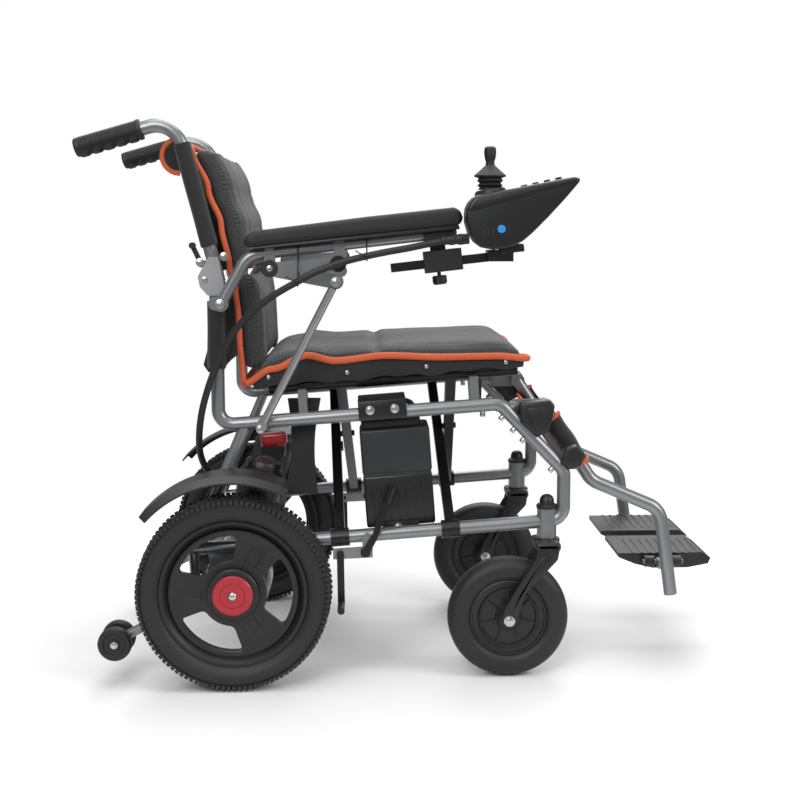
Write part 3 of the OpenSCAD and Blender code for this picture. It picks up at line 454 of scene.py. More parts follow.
def drum(centre, radius, length, axis=(0, 1, 0), sides=32, bevel=0.8):
    """A round bar or disc with softened rims, its middle at the centre."""
    turn = Vector(axis).to_track_quat("Z", "Y").to_euler()
    bpy.ops.mesh.primitive_cylinder_add(vertices=sides, radius=radius * MM, depth=length * MM,
                                        location=Vector(centre) * MM, rotation=turn)
    return soften(bpy.context.object, bevel, 2)


def block(centre, size, bevel=2.0, turn=0.0, segments=2):
    """A rounded block, turned about the y axis by degrees."""
    bpy.ops.mesh.primitive_cube_add(size=1, location=Vector(centre) * MM,
                                    rotation=(0, math.radians(turn), 0))
    piece = bpy.context.object
    piece.scale = Vector(size) * MM
    only(piece)
    bpy.ops.object.transform_apply(location=False, rotation=False, scale=True)
    return soften(piece, bevel, segments)


def flowing(points, per=4):
    """Points on a smooth line through the given ones."""
    spots = [Vector(p) for p in points]
    padded = [2 * spots[0] - spots[1], *spots, 2 * spots[-1] - spots[-2]]
    made = []
    for a, b, c, d in zip(padded, padded[1:], padded[2:], padded[3:]):
        for step in range(per):
            t = step / per
            made.append(0.5 * (2 * b + (c - a) * t + (2 * a - 5 * b + 4 * c - d) * t ** 2
                               + (3 * b - a - 3 * c + d) * t ** 3))
    return [*made, spots[-1]]


def cordage(points, radius, sides=4):
    """A round tube along the points, with closed ends."""
    piece = trace(points)
    bpy.ops.object.mode_set(mode="OBJECT")
    only(piece)
    bpy.ops.object.convert(target="CURVE")
    piece = bpy.context.object
    piece.data.bevel_depth = radius * MM
    piece.data.bevel_resolution = sides
    piece.data.use_fill_caps = True
    bpy.ops.object.convert(target="MESH")
    piece = bpy.context.object
    bpy.ops.object.mode_set(mode="EDIT")
    close_up()
    return piece


def together(pieces):
    """Joins finished pieces into the first."""
    bpy.ops.object.select_all(action="DESELECT")
    for piece in pieces:
        piece.select_set(True)
    bpy.context.view_layer.objects.active = pieces[0]
    bpy.ops.object.join()
    return bpy.context.object


def joined(pieces, finish, angle=30):
    """Settles the pieces in one finish and joins them."""
    return together([settle(piece, "part", finish, angle) for piece in pieces])


def carve(piece, cutters):
    """Cuts the cutters out of the piece and removes them."""
    for cutter in cutters:
        change = piece.modifiers.new("cut", "BOOLEAN")
        change.operation = "DIFFERENCE"
        change.solver = "EXACT"
        change.object = cutter
    only(piece)
    for change in list(piece.modifiers):
        bpy.ops.object.modifier_apply(modifier=change.name)
    for cutter in cutters:
        bpy.data.objects.remove(cutter)
    return piece


def twin(piece, name):
    """A copy with its own mesh."""
    only(piece)
    bpy.ops.object.duplicate(linked=False)
    copy = bpy.context.object
    copy.name = name
    copy.data.name = name
    return copy


def other_side(piece, name):
    """The mirror image of a finished right-hand piece, on the left."""
    copy = twin(piece, name)
    bpy.ops.object.mode_set(mode="EDIT")
    bpy.ops.mesh.select_all(action="SELECT")
    bpy.ops.transform.resize(value=(1, -1, 1), center_override=(0, 0, 0))
    bpy.ops.mesh.flip_normals()
    bpy.ops.object.mode_set(mode="OBJECT")
    return copy


def pair(piece, name, finish, body, slot, nodes=(), angle=35):
    """Finishes a right-hand piece and makes the left one; {} in names stands for the side."""
    right = settle(piece, name.format("r"), finish, angle)
    left = other_side(right, name.format("l"))
    for made, (side, _) in zip((right, left), SIDES):
        where = {"root": "root" if side == "r" else "frame_left"}.get(body, body.format(side))
        give(made, where, slot, *[n.format(side) for n in nodes])
    return right, left


def screws(name, spots, body, axis=(0, -1, 0), radius=5.0, both=True, finish=STEEL):
    """Hexagon heads on washers, one piece for a body; spots are x, y, z of each seat."""
    along = Vector(axis).normalized()
    heads = []
    for spot in spots:
        seat = Vector(spot)
        washer = drum(seat + along * 0.6, radius * 1.35, 1.2, axis, 20, 0.3)
        head = drum(seat + along * (1.2 + radius * 0.35), radius, radius * 0.7, axis, 6, 0.6)
        heads += [settle(washer, "w", finish), settle(head, "h", finish)]
    piece = together(heads)
    if both:
        return pair(piece, name + "_{}", finish, body, "light_steel", angle=30)
    return [give(settle(piece, name, finish, 30), body, "light_steel")]


def place(node):
    """Lowest and highest corners of a node, in millimetres."""
    low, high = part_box(node)
    return Vector(low) / MM, Vector(high) / MM


def middle(node):
    low, high = place(node)
    return (low + high) / 2

# ---- cable, held from the control box to the drive unit ----

CABLE_ROUTE = [
    (98, -268, 722), (70, -270, 720), (40, -272, 715), (5, -274, 708), (-30, -277, 702),
    (-60, -280, 696), (-90, -282, 689), (-118, -283, 680), (-144, -283, 670), (-168, -282, 657),
    (-192, -280, 644), (-214, -276, 630), (-234, -271, 615), (-252, -265, 599), (-268, -259, 581),
    (-283, -253, 558), (-296, -248, 533), (-308, -244, 506), (-318, -241, 478), (-326, -237, 450),
    (-331, -231, 424), (-334, -221, 398), (-334, -208, 374), (-329, -195, 352), (-319, -184, 334),
    (-306, -177, 323), (-294, -174, 319),
]


def make_cable():
    route = flowing(CABLE_ROUTE, 3)
    cable = settle(cordage(route, 5.5, 5), "control_cable_lead", SOFT, 60)
    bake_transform(cable)
    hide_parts("control_cable")
    boot = turned([(0, -42), (6.6, -42), (7.4, -40), (7.4, -36), (6.9, -34), (6.9, -30), (8.0, -28),
                   (8.0, -22), (7.4, -20), (7.4, -16), (8.6, -14), (8.6, -8), (8.2, -6), (8.2, 2), (0, 2)],
                   (98, -268, 722), (0.996, 0.06, 0.07), 24)
    give(settle(boot, "cable_boot", SOFT, 40), "controls", "soft_rubber")


make_cable()

# ---- finishes of the frame's own parts ----

FINISHES = {
    "frame_": PAINT, "back_post_": PAINT, "arm_tube_": PAINT, "leg_tube_": PAINT, "arm_strut_": STRUT,
    "arm_link_": PAINT, "hinge_bracket_": CAST, "release_lever_": PLASTIC, "brace_": BLACK_PAINT,
    "brake_": BLACK_PAINT, "mount_bar": BLACK_PAINT, "bar_clamp": PLASTIC, "clamp_knob": PLASTIC,
    "arm_button_": RED, "joystick": SOFT, "key_": SHELL, "fender_": PLASTIC, "footplate_": PLASTIC,
}
for title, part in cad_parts.items():
    for start, finish in FINISHES.items():
        if title.startswith(start):
            part.data.materials.clear()
            part.data.materials.append(finish)

# ---- rear wheels ----

tyre_low, tyre_high = place("rear_tyre_r")
AXLE = (tyre_low + tyre_high) / 2
TYRE_R = (tyre_high.z - tyre_low.z) / 2
RIM_R = (place("rear_wheel_r")[1].z - place("rear_wheel_r")[0].z) / 2


def around(centre, radius, degrees, y):
    """A place on a circle about the y axis, measured from forward and upward."""
    angle = math.radians(degrees)
    return Vector((centre.x + radius * math.cos(angle), y, centre.z + radius * math.sin(angle)))


def make_tyre():
    crown = TYRE_R - 2.0
    wall = [(RIM_R + 0.6, -17), (RIM_R + 3, -20), (RIM_R + 8, -24.5), (RIM_R + 18, -27.5),
            (crown - 8, -27.2), (crown - 3.0, -23), (crown, -14), (crown, 0)]
    profile = wall + [(r, -t) for r, t in reversed(wall[:-1])] + [wall[0]]
    body = turned(profile, AXLE, (0, 1, 0), 96)
    lugs = []
    sample_side = slab([(-3.3, 0), (3.3, 0), (2.9, 6.4), (-2.9, 6.4)], -9.5, 0, 0.6, 1)
    sample_side = settle(sample_side, "lug_side", RUBBER, 0)
    sample_mid = slab([(-3.5, 0), (3.5, 0), (3.0, 3.2), (-3.0, 3.2)], -6.5, 6.5, 0.6, 1)
    sample_mid = settle(sample_mid, "lug_mid", RUBBER, 0)
    count = 108
    for step in range(count):
        degrees = 360 * step / count
        turn = Matrix.Rotation(math.radians(90 - degrees), 4, "Y")
        seat = around(AXLE, crown - 5.4, degrees, AXLE.y)
        for side in (-1, 1):
            lean = Matrix.Rotation(math.radians(side * -14), 4, "X")
            copy = twin(sample_side, "lug")
            shift = Matrix.Translation(Vector((0, side * 22.5 + (9.5 if side > 0 else 0) - side * 0.2,
                                               0)) * MM)
            copy.matrix_world = Matrix.Translation(seat * MM) @ turn @ shift @ lean
            lugs.append(copy)
        row = twin(sample_mid, "lug")
        half_step = math.radians(180 / count)
        spot = around(AXLE, crown - 1.6, degrees + 180 / count, AXLE.y + (6.5 if step % 2 else -6.5))
        row.matrix_world = Matrix.Translation(spot * MM) @ Matrix.Rotation(-half_step, 4, "Y") @ turn
        lugs.append(row)
    for sample in (sample_side, sample_mid):
        bpy.data.objects.remove(sample)
    tyre = settle(together([settle(body, "tyre", RUBBER, 0), *lugs]), "tyre", RUBBER, 30)
    pair(tyre, "tyre_{}", RUBBER, "wheel_{}", "tyre_rubber", ["rear_tyre_{}"], 30)


def make_rear_wheel():
    rim = turned([(RIM_R, -19), (RIM_R + 0.5, -17), (RIM_R + 0.4, 17), (RIM_R, 19), (RIM_R - 5, 19),
                  (RIM_R - 8, 16), (RIM_R - 10, 6), (102, 3), (102, -6), (RIM_R - 12, -9), (RIM_R - 9, -15),
                  (RIM_R - 5, -19), (RIM_R, -19)], AXLE, (0, 1, 0), 96)
    web = turned([(0, 8), (0, -8), (44, -8), (90, -5), (100, -8), (104, -8), (104, 4), (0, 8)],
                 (AXLE.x, AXLE.y - 4, AXLE.z), (0, 1, 0), 96)
    web = settle(web, "web", PLASTIC, 0)
    cutters = []
    for centre in (0, 120, 240):
        inner = [around(AXLE, 54, centre + a, 0) for a in range(-30, 31, 10)]
        outer = [around(AXLE, 95, centre + a, 0) for a in range(38, -39, -6)]
        window = slab([(p.x, p.z) for p in inner + outer], AXLE.y - 40, AXLE.y + 40)
        cutters.append(settle(soften(window, 7, 4, 40), "cut"))
    for spoke in (60, 180, 300):
        spots = [around(AXLE, r, spoke + a, 0) for r, a in ((52, -11), (84, -7.5), (84, 7.5), (52, 11))]
        pocket = slab([(p.x, p.z) for p in spots], AXLE.y - 30, AXLE.y - 9.2, 1.2, 1)
        cutters.append(settle(pocket, "cut"))
    web = soften(carve(web, cutters), 1.1, 2, 40)
    hub = turned([(0, -22), (40, -22), (42, -20.5), (42, -9), (46, -7), (46, 14), (30, 18), (26, 28),
                  (0, 28)], AXLE, (0, 1, 0), 64)
    shaft = drum((AXLE.x, AXLE.y + 52, AXLE.z), 8.5, 60)
    wheel = together([settle(rim, "rim", PLASTIC, 30), settle(web, "web", PLASTIC, 30),
                      settle(hub, "hub", PLASTIC, 30), settle(shaft, "shaft", STEEL, 30)])
    pair(wheel, "wheel_{}", PLASTIC, "wheel_{}", "black_plastic", ["rear_wheel_{}"], 32)
    ring = turned([(46, -8), (43.5, -11.5), (43.5, -13), (47.5, -13), (48.5, -8)], AXLE, (0, 1, 0), 64)
    pair(ring, "hub_ring_{}", SHELL, "wheel_{}", "black_plastic")
    cap = turned([(0, -28.5), (18.6, -28.5), (19.2, -27.6), (20.4, -27.6), (21, -28.5), (30.5, -28.5),
                  (32.6, -26.8), (32.6, -21), (0, -21)], AXLE, (0, 1, 0), 64)
    pair(cap, "hub_cap_{}", RED, "wheel_{}", "red_plastic", angle=30)
    bolt = turned([(0, -33), (4, -33), (6.2, -31.5), (7.4, -29.5), (7.4, -28), (0, -28)], AXLE, (0, 1, 0),
                  24)
    pair(bolt, "hub_bolt_{}", STEEL, "wheel_{}", "light_steel")


make_tyre()
make_rear_wheel()

# ---- castors ----

castor_low, castor_high = place("castor_wheel_r")
CASTOR = (castor_low + castor_high) / 2
CASTOR_R = (castor_high.z - castor_low.z) / 2


def make_castor():
    r = CASTOR_R
    wall = [(63, -17), (66, -21), (72, -24), (82, -24.6), (91, -22.5), (96.5, -17), (r - 0.6, -9), (r, 0)]
    tyre = turned(wall + [(a, -t) for a, t in reversed(wall[:-1])] + [wall[0]], CASTOR, (0, 1, 0), 96)
    pair(tyre, "castor_tyre_{}", SOFT, "castor_{}", "tyre_rubber", ["castor_wheel_{}"], 40)
    rim = turned([(64, -18), (62, -19), (60, -18.5), (59, -15), (50, -13), (48.5, -16.5), (46.5, -16.5),
                  (45, -12), (22, -12), (20, -15), (18, -15), (16, -27), (12, -27.6), (0, -27.6), (0, 27.6),
                  (12, 27.6), (16, 27), (18, 15), (20, 15), (22, 12), (45, 12), (46.5, 16.5), (48.5, 16.5),
                  (50, 13), (59, 15), (60, 18.5), (62, 19), (64, 18), (64, -18)], CASTOR, (0, 1, 0), 72)
    ribs = [settle(rim, "rim", PLASTIC, 30)]
    for step in range(7):
        spot = around(CASTOR, 33, 90 + step * 360 / 7, CASTOR.y)
        rib = block(spot, (27, 31, 4.2), 0.9, -(90 + step * 360 / 7))
        ribs.append(settle(rib, "rib", PLASTIC, 30))
    pair(together(ribs), "castor_rim_{}", PLASTIC, "castor_{}", "black_plastic", angle=30)
    axle = drum(CASTOR, 4, 76, (0, 1, 0), 20, 0.4)
    ends = [drum((CASTOR.x, CASTOR.y + s * 37.2, CASTOR.z), 7.2, 5.5, (0, 1, 0), 6, 1.2) for s in (-1, 1)]
    caps = [drum((CASTOR.x, CASTOR.y + s * 35.6, CASTOR.z), 9.2, 1.6, (0, 1, 0), 24, 0.4) for s in (-1, 1)]
    pair(joined([axle, *ends, *caps], STEEL), "castor_axle_{}", STEEL, "castor_{}",
         "light_steel", angle=30)


def make_fork():
    low, high = place("castor_fork_r")
    stem = Vector((233.5, (low.y + high.y) / 2, 0))
    crown = 231
    legs = []
    for side in (-1, 1):
        y0 = stem.y + side * 28.2
        y1 = stem.y + side * 35
        outline = [(stem.x - 21, crown - 26), (stem.x - 17, crown - 4), (stem.x + 19, crown - 4),
                   (stem.x + 15, crown - 30), (CASTOR.x + 26, CASTOR.z + 44),
                   (CASTOR.x + 13.5, CASTOR.z + 3), (CASTOR.x + 9, CASTOR.z - 10),
                   (CASTOR.x, CASTOR.z - 13), (CASTOR.x - 9, CASTOR.z - 10), (CASTOR.x - 13.5, CASTOR.z),
                   (CASTOR.x - 8, CASTOR.z + 22)]
        legs.append(slab(outline, min(y0, y1), max(y0, y1), 2.6, 3))
        ridge = slab([(stem.x - 10, crown - 24), (stem.x + 9, crown - 26), (CASTOR.x + 18, CASTOR.z + 42),
                      (CASTOR.x + 5, CASTOR.z + 12), (CASTOR.x - 3, CASTOR.z + 12)],
                     stem.y + side * 34 - 1.5, stem.y + side * 34 + 2.4, 1.6, 2)
        legs.append(ridge)
    bridge = block((stem.x - 1, stem.y, crown - 9), (42, 70, 15), 5.5, 0, 4)
    collar = turned([(0, 0), (21, 0), (22, -2), (20, -16), (0, -16)], (stem.x, stem.y, crown), (0, 0, 1),
                    40)
    post = drum((stem.x, stem.y, 262), 6.9, 60, (0, 0, 1), 24, 0.5)
    cap = turned([(0, 23), (5, 22.4), (9, 20), (11.5, 15), (12.2, 8), (16, 6.5), (17.2, 5.2), (17.2, 0.4),
                  (0, 0.4)], (stem.x, stem.y, 281), (0, 0, 1), 40)
    parts = [settle(p, "f", PLASTIC, 35) for p in [*legs, bridge, collar, post, cap]]
    pair(together(parts), "fork_{}", PLASTIC, "castor_swivel_{}", "black_plastic", ["castor_fork_{}"], 35)


make_castor()
make_fork()

tip_low, tip_high = place("tipper_wheels_r")
TIPPER = (tip_low + tip_high) / 2


def make_tippers():
    wheels = []
    for side in (-1, 1):
        shift = side * 20
        wheels.append(turned([(0, shift - 9), (9, shift - 9), (10, shift - 7), (17, shift - 7),
                              (19, shift - 9), (25, shift - 9), (27.5, shift - 6), (28, shift),
                              (27.5, shift + 6), (25, shift + 9), (19, shift + 9), (17, shift + 7),
                              (10, shift + 7), (9, shift + 9), (0, shift + 9)], TIPPER, (0, 1, 0), 48))
    pair(joined(wheels, SOFT, 35), "tip_wheels_{}", SOFT, "tipper_{}", "soft_rubber",
         ["tipper_wheels_{}"], 35)
    screws("tip_bolt", [(TIPPER.x, TIPPER.y - 29, TIPPER.z)], "tipper_{}", radius=4.5)


make_tippers()

# ---- padded cloth ----


def between(line, x):
    """The height of a line of places at x."""
    for (x0, z0), (x1, z1) in zip(line, line[1:]):
        if x <= x1:
            break
    t = min(1.0, max(0.0, (x - x0) / (x1 - x0)))
    t = t * t * (3 - 2 * t)
    return z0 + (z1 - z0) * t


def swell(piece, cap):
    """Inflates a closed cushion a little, as stuffing does."""
    before = [v.co.copy() for v in piece.data.vertices]
    only(piece)
    cloth = piece.modifiers.new("stuffing", "CLOTH")
    cloth.settings.use_pressure = True
    cloth.settings.uniform_pressure_force = 4
    cloth.settings.quality = 6
    cloth.settings.effector_weights.gravity = 0
    scene = bpy.context.scene
    for step in range(1, 21):
        scene.frame_set(step)
    bpy.ops.object.modifier_apply(modifier="stuffing")
    scene.frame_set(1)
    for point, rest in zip(piece.data.vertices, before):
        shift = point.co - rest
        if shift.length > cap * MM:
            point.co = rest + shift.normalized() * cap * MM


def cushion(name, length, width, thick, shape, finish=None, cap=7, creases=(), edge=11, voxel=6.5):
    """A stuffed block made flat, with sewn creases, then laid where shape(u, v, w) puts each point."""
    start = block((0, 0, 0), (length, width, thick), min(edge, thick * 0.45), 0, 3)
    remesh = start.modifiers.new("even", "REMESH")
    remesh.mode = "VOXEL"
    remesh.voxel_size = voxel * MM
    pad = twin(settle(start, "start", None, 0), name)
    bpy.data.objects.remove(start)
    swell(pad, cap)
    finer = pad.modifiers.new("finer", "SUBSURF")
    finer.levels = finer.render_levels = 1
    settle(pad, name, finish or MESH_CLOTH, 0)
    flat = [v.co / MM for v in pad.data.vertices]
    layer = pad.data.uv_layers.new(name="cloth")
    for corner in pad.data.loops:
        u, v, w = flat[corner.vertex_index]
        layer.data[corner.index].uv = ((u + w) * MM, (v + w) * MM)
    for point, (u, v, w) in zip(pad.data.vertices, flat):
        for axis, at, deep, wide in creases:
            gap = (u if axis == "u" else v) - at
            w -= deep * math.exp(-(gap / wide) ** 2) * max(0.0, min(1.0, w / (0.3 * thick)))
        point.co = Vector(shape(u, v, w)) * MM
    only(pad)
    bpy.ops.object.shade_smooth()
    return pad


SEAT_SEAM = [(-262, 488), (-215, 512), (-158, 534), (-113, 525), (-30, 533), (59, 530), (154, 531),
             (203, 527)]
SEAT_MID = [(-262, 492), (-200, 521), (-60, 526), (60, 534), (150, 538), (203, 528)]
BACK_SEAM = [(-262, 487), (-267, 569), (-268, 595), (-272, 640), (-281, 680), (-293, 745), (-312, 801),
             (-336, 862)]


def seat_place(u, v, w):
    x = -28 + u
    share = min(1.0, abs(v) / 203) ** 3
    z = between(SEAT_MID, x) * (1 - share) + between(SEAT_SEAM, x) * share
    ends = min(1.0, (x + 262) / 60)
    return x, v, z + w * (0.55 + 0.45 * ends) + (3 * (1 - (v / 203) ** 2) if w > 0 else 0)


def back_seam_x(z):
    """How far forward the back cushion's seam is at a height."""
    return between([(b, a) for a, b in BACK_SEAM], z)


def back_place(from_z, to_z):
    def shape(u, v, w):
        z = from_z + (to_z - from_z) * (u + 0.5)
        x = back_seam_x(z)
        step = 6
        slope = Vector((step, 0, x - back_seam_x(z + step))).normalized()
        return x + slope.x * w, v, z + slope.z * w
    return shape


def lay_seat():
    pad = cushion("seat_cushion", 452, 402, 24, seat_place, cap=7,
                  creases=[("u", -18, 5, 9), ("u", -150, 2.5, 9), ("v", 0, 1.5, 8)])
    give(pad, "seat", "mesh_cloth", "seat_pad")
    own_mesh(pad)
    rim = []
    for x in range(-258, 199, 9):
        rim.append((x, -204.5, between(SEAT_SEAM, x)))
    front = [(202, y, 527 - 14 * math.cos(math.pi * y / 420) ** 2) for y in range(-196, 197, 28)]
    left = [(x, -y, z) for x, y, z in reversed(rim)]
    back = [(-262, -y, 487) for y in range(-196, 197, 28)]
    line = [*rim, *front, *left, *back, rim[0]]
    piping = settle(cordage(flowing(line, 2), 5.8, 3), "seat_piping", BINDING, 50)
    give(piping, "seat", "mesh_cloth")
    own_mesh(piping)


def lay_back():
    split = 662
    for title, low, high, body, node, creases in (
        ("back_cushion_lower", 509, split - 1.5, "root", "back_pad_lower",
         [("v", -120, 3, 10), ("v", 120, 3, 10)]),
        ("back_cushion_upper", split + 1.5, 866, "back_r", "back_pad_upper",
         [("v", -120, 3, 10), ("v", 120, 3, 10), ("u", 0.0, 3, 12)]),
    ):
        tall = high - low
        shape = back_place(low, high)
        pad = cushion(title, tall, 400, 31, lambda u, v, w, s=shape, t=tall: s(u / t, v, w + 17.5), cap=6,
                      creases=creases)
        give(pad, body, "mesh_cloth", node)
        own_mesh(pad)
        step, tuck = 9, 18 if body == "root" else 0
        rise = [low - tuck + step * i for i in range(int((tall + tuck) / step) + 1)]
        edge = [(back_seam_x(z), -203.5, z) for z in rise]
        if body == "root":
            line = [*reversed(edge), *[(edge[0][0], y, edge[0][2] - 2) for y in range(-190, 191, 38)],
                    *[(x, -y, z) for x, y, z in edge]]
        else:
            top = edge[-1]
            line = [*edge, *[(top[0] - 4, y, top[2] + 8) for y in range(-190, 191, 38)],
                    *[(x, -y, z) for x, y, z in reversed(edge)]]
        piping = settle(cordage(flowing(line, 2), 4.8, 3), title + "_piping", BINDING, 50)
        give(piping, body, "mesh_cloth")
        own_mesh(piping)


lay_seat()
lay_back()


def cloth_sheet(name, across, along, shape, thick, finish, angle=60):
    """A thin sheet: a grid laid by shape(u, v), with u and v from 0 to 1, then thickened."""
    bpy.ops.object.select_all(action="DESELECT")
    bpy.ops.mesh.primitive_grid_add(x_subdivisions=across, y_subdivisions=along, size=1, location=(0, 0, 0))
    piece = bpy.context.object
    for point in piece.data.vertices:
        point.co = Vector(shape(point.co.x + 0.5, point.co.y + 0.5)) * MM
    bpy.ops.object.mode_set(mode="EDIT")
    close_up()
    wall = piece.modifiers.new("wall", "SOLIDIFY")
    wall.thickness = thick * MM
    wall.offset = 0
    return settle(piece, name, finish, angle)


def rail_z(x):
    """The height of the seat rails."""
    return 495.5 + x * math.tan(RISE)


def lay_sling():
    """Black cloth stretched over the rails, under the cushion, with its sides up to the seam."""
    half = 199

    def shape(u, v):
        x = -246 + 440 * u
        t = v * 2 - 1
        seam = between(SEAT_SEAM, x) - 3
        under = rail_z(x) + 13.2
        low = rail_z(x) + 4 + 4 * math.sin(x / 31) * math.sin(x / 13 + 1)
        if abs(t) < 0.86:
            return x, half * t / 0.86 * 0.955, under
        share = (abs(t) - 0.86) / 0.14
        out = math.copysign(1, t)
        if share > 0.5:
            z = under + (low - under) * share
        else:
            z = under + (seam - under) * (1 - abs(share * 4 - 1))
        return x, out * (190 + 13.5 * min(1, share * 3)), z

    sling = cloth_sheet("seat_cloth", 64, 120, shape, 1.4, WEB, 50)
    give(sling, "seat", "black_web", "seat_sling")
    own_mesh(sling)
    for title, side in SIDES:

        def flank(u, v, out=side):
            x = -250 + 446 * u
            seam = between(SEAT_SEAM, x) - 4
            low = rail_z(x) + 5 + 3 * math.sin(x / 37 + 1)
            z = seam + (low - seam) * v
            fold = 2.2 * math.sin(x / 23 + 4 * v) * math.sin(math.pi * v)
            fold += 1.2 * math.sin(x / 9 + 7 * v) * v * (1 - v)
            return x, out * (203 - 6 * v + fold), z

        side_cloth = cloth_sheet("seat_side_" + title, 90, 10, flank, 1.6, WEB, 60)
        give(side_cloth, "seat", "black_web")
        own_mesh(side_cloth)


lay_sling()

# ---- control box ----


def make_controller():
    low, high = place("controller")
    near, far = low.y + 1.5, high.y - 1.5
    hull = slab([(95, 764), (106, 782), (122, 786), (262, 812), (272, 811), (248, 783), (222, 755),
                 (198, 731), (184, 719), (170, 711), (154, 706.5), (136, 705), (121, 708), (109, 717),
                 (100, 731), (95, 748)], near + 1.0, far - 1.0, 15, 6)
    cap = slab([(94, 765), (100, 778), (110, 789), (264, 817.5), (273.5, 812.5), (266, 806), (196, 784),
                (150, 773), (118, 764), (104, 760)], near, far, 6, 4)
    ribs = [block((122 + 8 * i, near + 2.4, 724 + 1.6 * i), (2.2, 3.2, 24), 1.0, -8) for i in range(6)]
    pads = []
    for number in range(1, 5):
        key_low, key_high = place("key_{}".format(number))
        centre, size = (key_low + key_high) / 2, key_high - key_low
        pads.append(block((centre.x, centre.y, centre.z - size.z * 0.30),
                          (size.x + 5, size.y + 5, size.z * 0.5), 0.8, -10))
    foot = block((168, (near + far) / 2, 706), (38, 34, 12), 2, -6)
    shell = joined([hull, cap, *ribs, *pads, foot], SHELL, 35)
    give(settle(shell, "control_shell", SHELL, 35), "controls", "black_plastic", "controller")
    stick = [(0, 865), (6, 865), (9, 862.5), (9.6, 856), (8.6, 847), (6.6, 841), (7.4, 836), (13, 831),
             (21, 824), (25, 820.5), (25, 818.5), (18, 816), (20.5, 812), (16.5, 808.5), (20, 805),
             (16.5, 801.5), (19, 798), (0, 798)]
    stick = [(r, z - 794.5) for r, z in stick]
    lever = turned(stick, (134, (near + far) / 2, 794.5), (0, 0, 1), 40)
    give(settle(lever, "joystick_boot", SOFT, 35), "stick", "soft_rubber", "joystick")
    collar = turned([(0, 3.5), (21, 3.5), (24, 1), (26, -6), (26, -12), (0, -12)],
                    (134, (near + far) / 2, 796), (-0.17, 0, 0.985), 40)
    give(settle(collar, "joystick_collar", SHELL, 35), "controls", "black_plastic")
    ring = turned([(0, -2.2), (5.8, -2.2), (6.4, -1.4), (6.4, 1), (0, 1)], (149, near + 0.6, 737),
                  (0, 1, 0), 24)
    give(settle(ring, "side_button", BLUE, 30), "controls", "black_plastic")


make_controller()

# ---- push handles ----


def make_grip():
    low, high = place("grip_r")
    y = (low.y + high.y) / 2
    tilt = math.radians(15.7)
    along = Vector((-math.cos(tilt), 0, -math.sin(tilt)))
    down = Vector((math.sin(tilt), 0, -math.cos(tilt)))
    front = Vector((high.x - 5, y, high.z - 16))
    back = Vector((low.x + 5, y, low.z + 16))
    length = (back - front).length
    profile = [(0, 0), (16, 0), (16.6, 1.5), (16.4, 6), (15.0, 8)]
    at = 9.0
    while at < length - 8:
        profile += [(15.0, at), (15.9, at + 0.7), (15.9, at + 1.7), (15.0, at + 2.4)]
        at += 3.0
    profile += [(15.4, length - 5), (14.5, length - 1.5), (12, length), (0, length)]
    parts = [settle(turned(profile, front, along, 40), "g", SOFT, 30)]
    pitch = (length - 30) / 4
    for number in range(5):
        spot = front + along * (16 + number * pitch) + down * 3.4
        bead = drum(spot, 14.2, pitch - 1.5, along, 32, 5.5)
        bead.modifiers["soften"].segments = 4
        parts.append(settle(bead, "g", SOFT, 40))
    pair(together(parts), "push_grip_{}", SOFT, "back_{}", "soft_rubber", ["grip_{}"], 35)


make_grip()

# ---- arm pads ----


def make_arm_pad():
    low, high = place("arm_pad_r")
    outline = [(-251, 709), (-252, 720), (-247, 730), (-236, 735.5), (-60, 757), (76, 771), (86, 767),
               (90.5, 756), (89.5, 746), (82, 743)]
    pad = slab(outline, low.y + 0.5, high.y - 0.5, 8, 5)
    for piece in pair(pad, "arm_pad_foam_{}", FOAM, "arm_{}", "arm_foam", ["arm_pad_{}"], 50):
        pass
    tray = slab([(-240, 706), (-236, 711), (84, 744), (86, 737)], low.y + 6, high.y - 5, 1.5, 2)
    pair(tray, "arm_pad_tray_{}", PLASTIC, "arm_{}", "black_plastic")


make_arm_pad()

# ---- battery ----


def raised(x, y, z):
    """A place measured from the lower side tube, which rises four degrees to the front."""
    return Vector((x * math.cos(RISE) - z * math.sin(RISE), y,
                   242.7 + x * math.sin(RISE) + z * math.cos(RISE)))


def make_battery():
    cover = block(raised(-5, -167, 134), (115, 78, 76), 5, -4, 3)
    band = block(raised(-5, -167, 95.2), (112, 75, 4), 1, -4)
    step = block(raised(-10, -166, 178), (98, 62, 18), 5, -4, 3)
    give(settle(joined([cover, band, step], LID, 35), "battery_cover", LID, 35), "root",
         "black_plastic", "battery")
    case = block(raised(-5, -167, 51), (114, 77, 86), 4, -4, 3)
    ribs = [block(raised(-48 + 14 * i, -205.4, 50), (3, 2, 66), 0.8, -4) for i in range(7)]
    hanger = [block(raised(-22, -190, 219), (78, 84, 9), 2, -4),
              block(raised(-22, -233, 208), (78, 5, 30), 1.5, -4),
              block(raised(-22, -199, 203), (78, 10, 26), 1.5, -4),
              block(raised(-22, -178, 196), (78, 34, 22), 2, -4),
              block(raised(-6, -200, -4), (70, 50, 8), 2, -4),
              block(raised(-6, -206, 6), (60, 5, 20), 1.5, -4)]
    case = joined([case, *ribs, *hanger], CASE, 35)
    give(settle(case, "battery_case", CASE, 35), "root", "black_plastic")
    handle = flowing([raised(-40, -150, 186), raised(-38, -150, 205), raised(-6, -150, 212),
                      raised(26, -150, 205), raised(28, -150, 186)], 4)
    give(settle(cordage(handle, 4.5, 4), "battery_handle", CASE, 50), "root", "black_plastic")
    screws("battery_bolt", [raised(-42, -235.5, 208), raised(-2, -235.5, 208), raised(-10, -208.5, 6)],
           "root", radius=5.5, both=False)


make_battery()

# ---- drive units ----


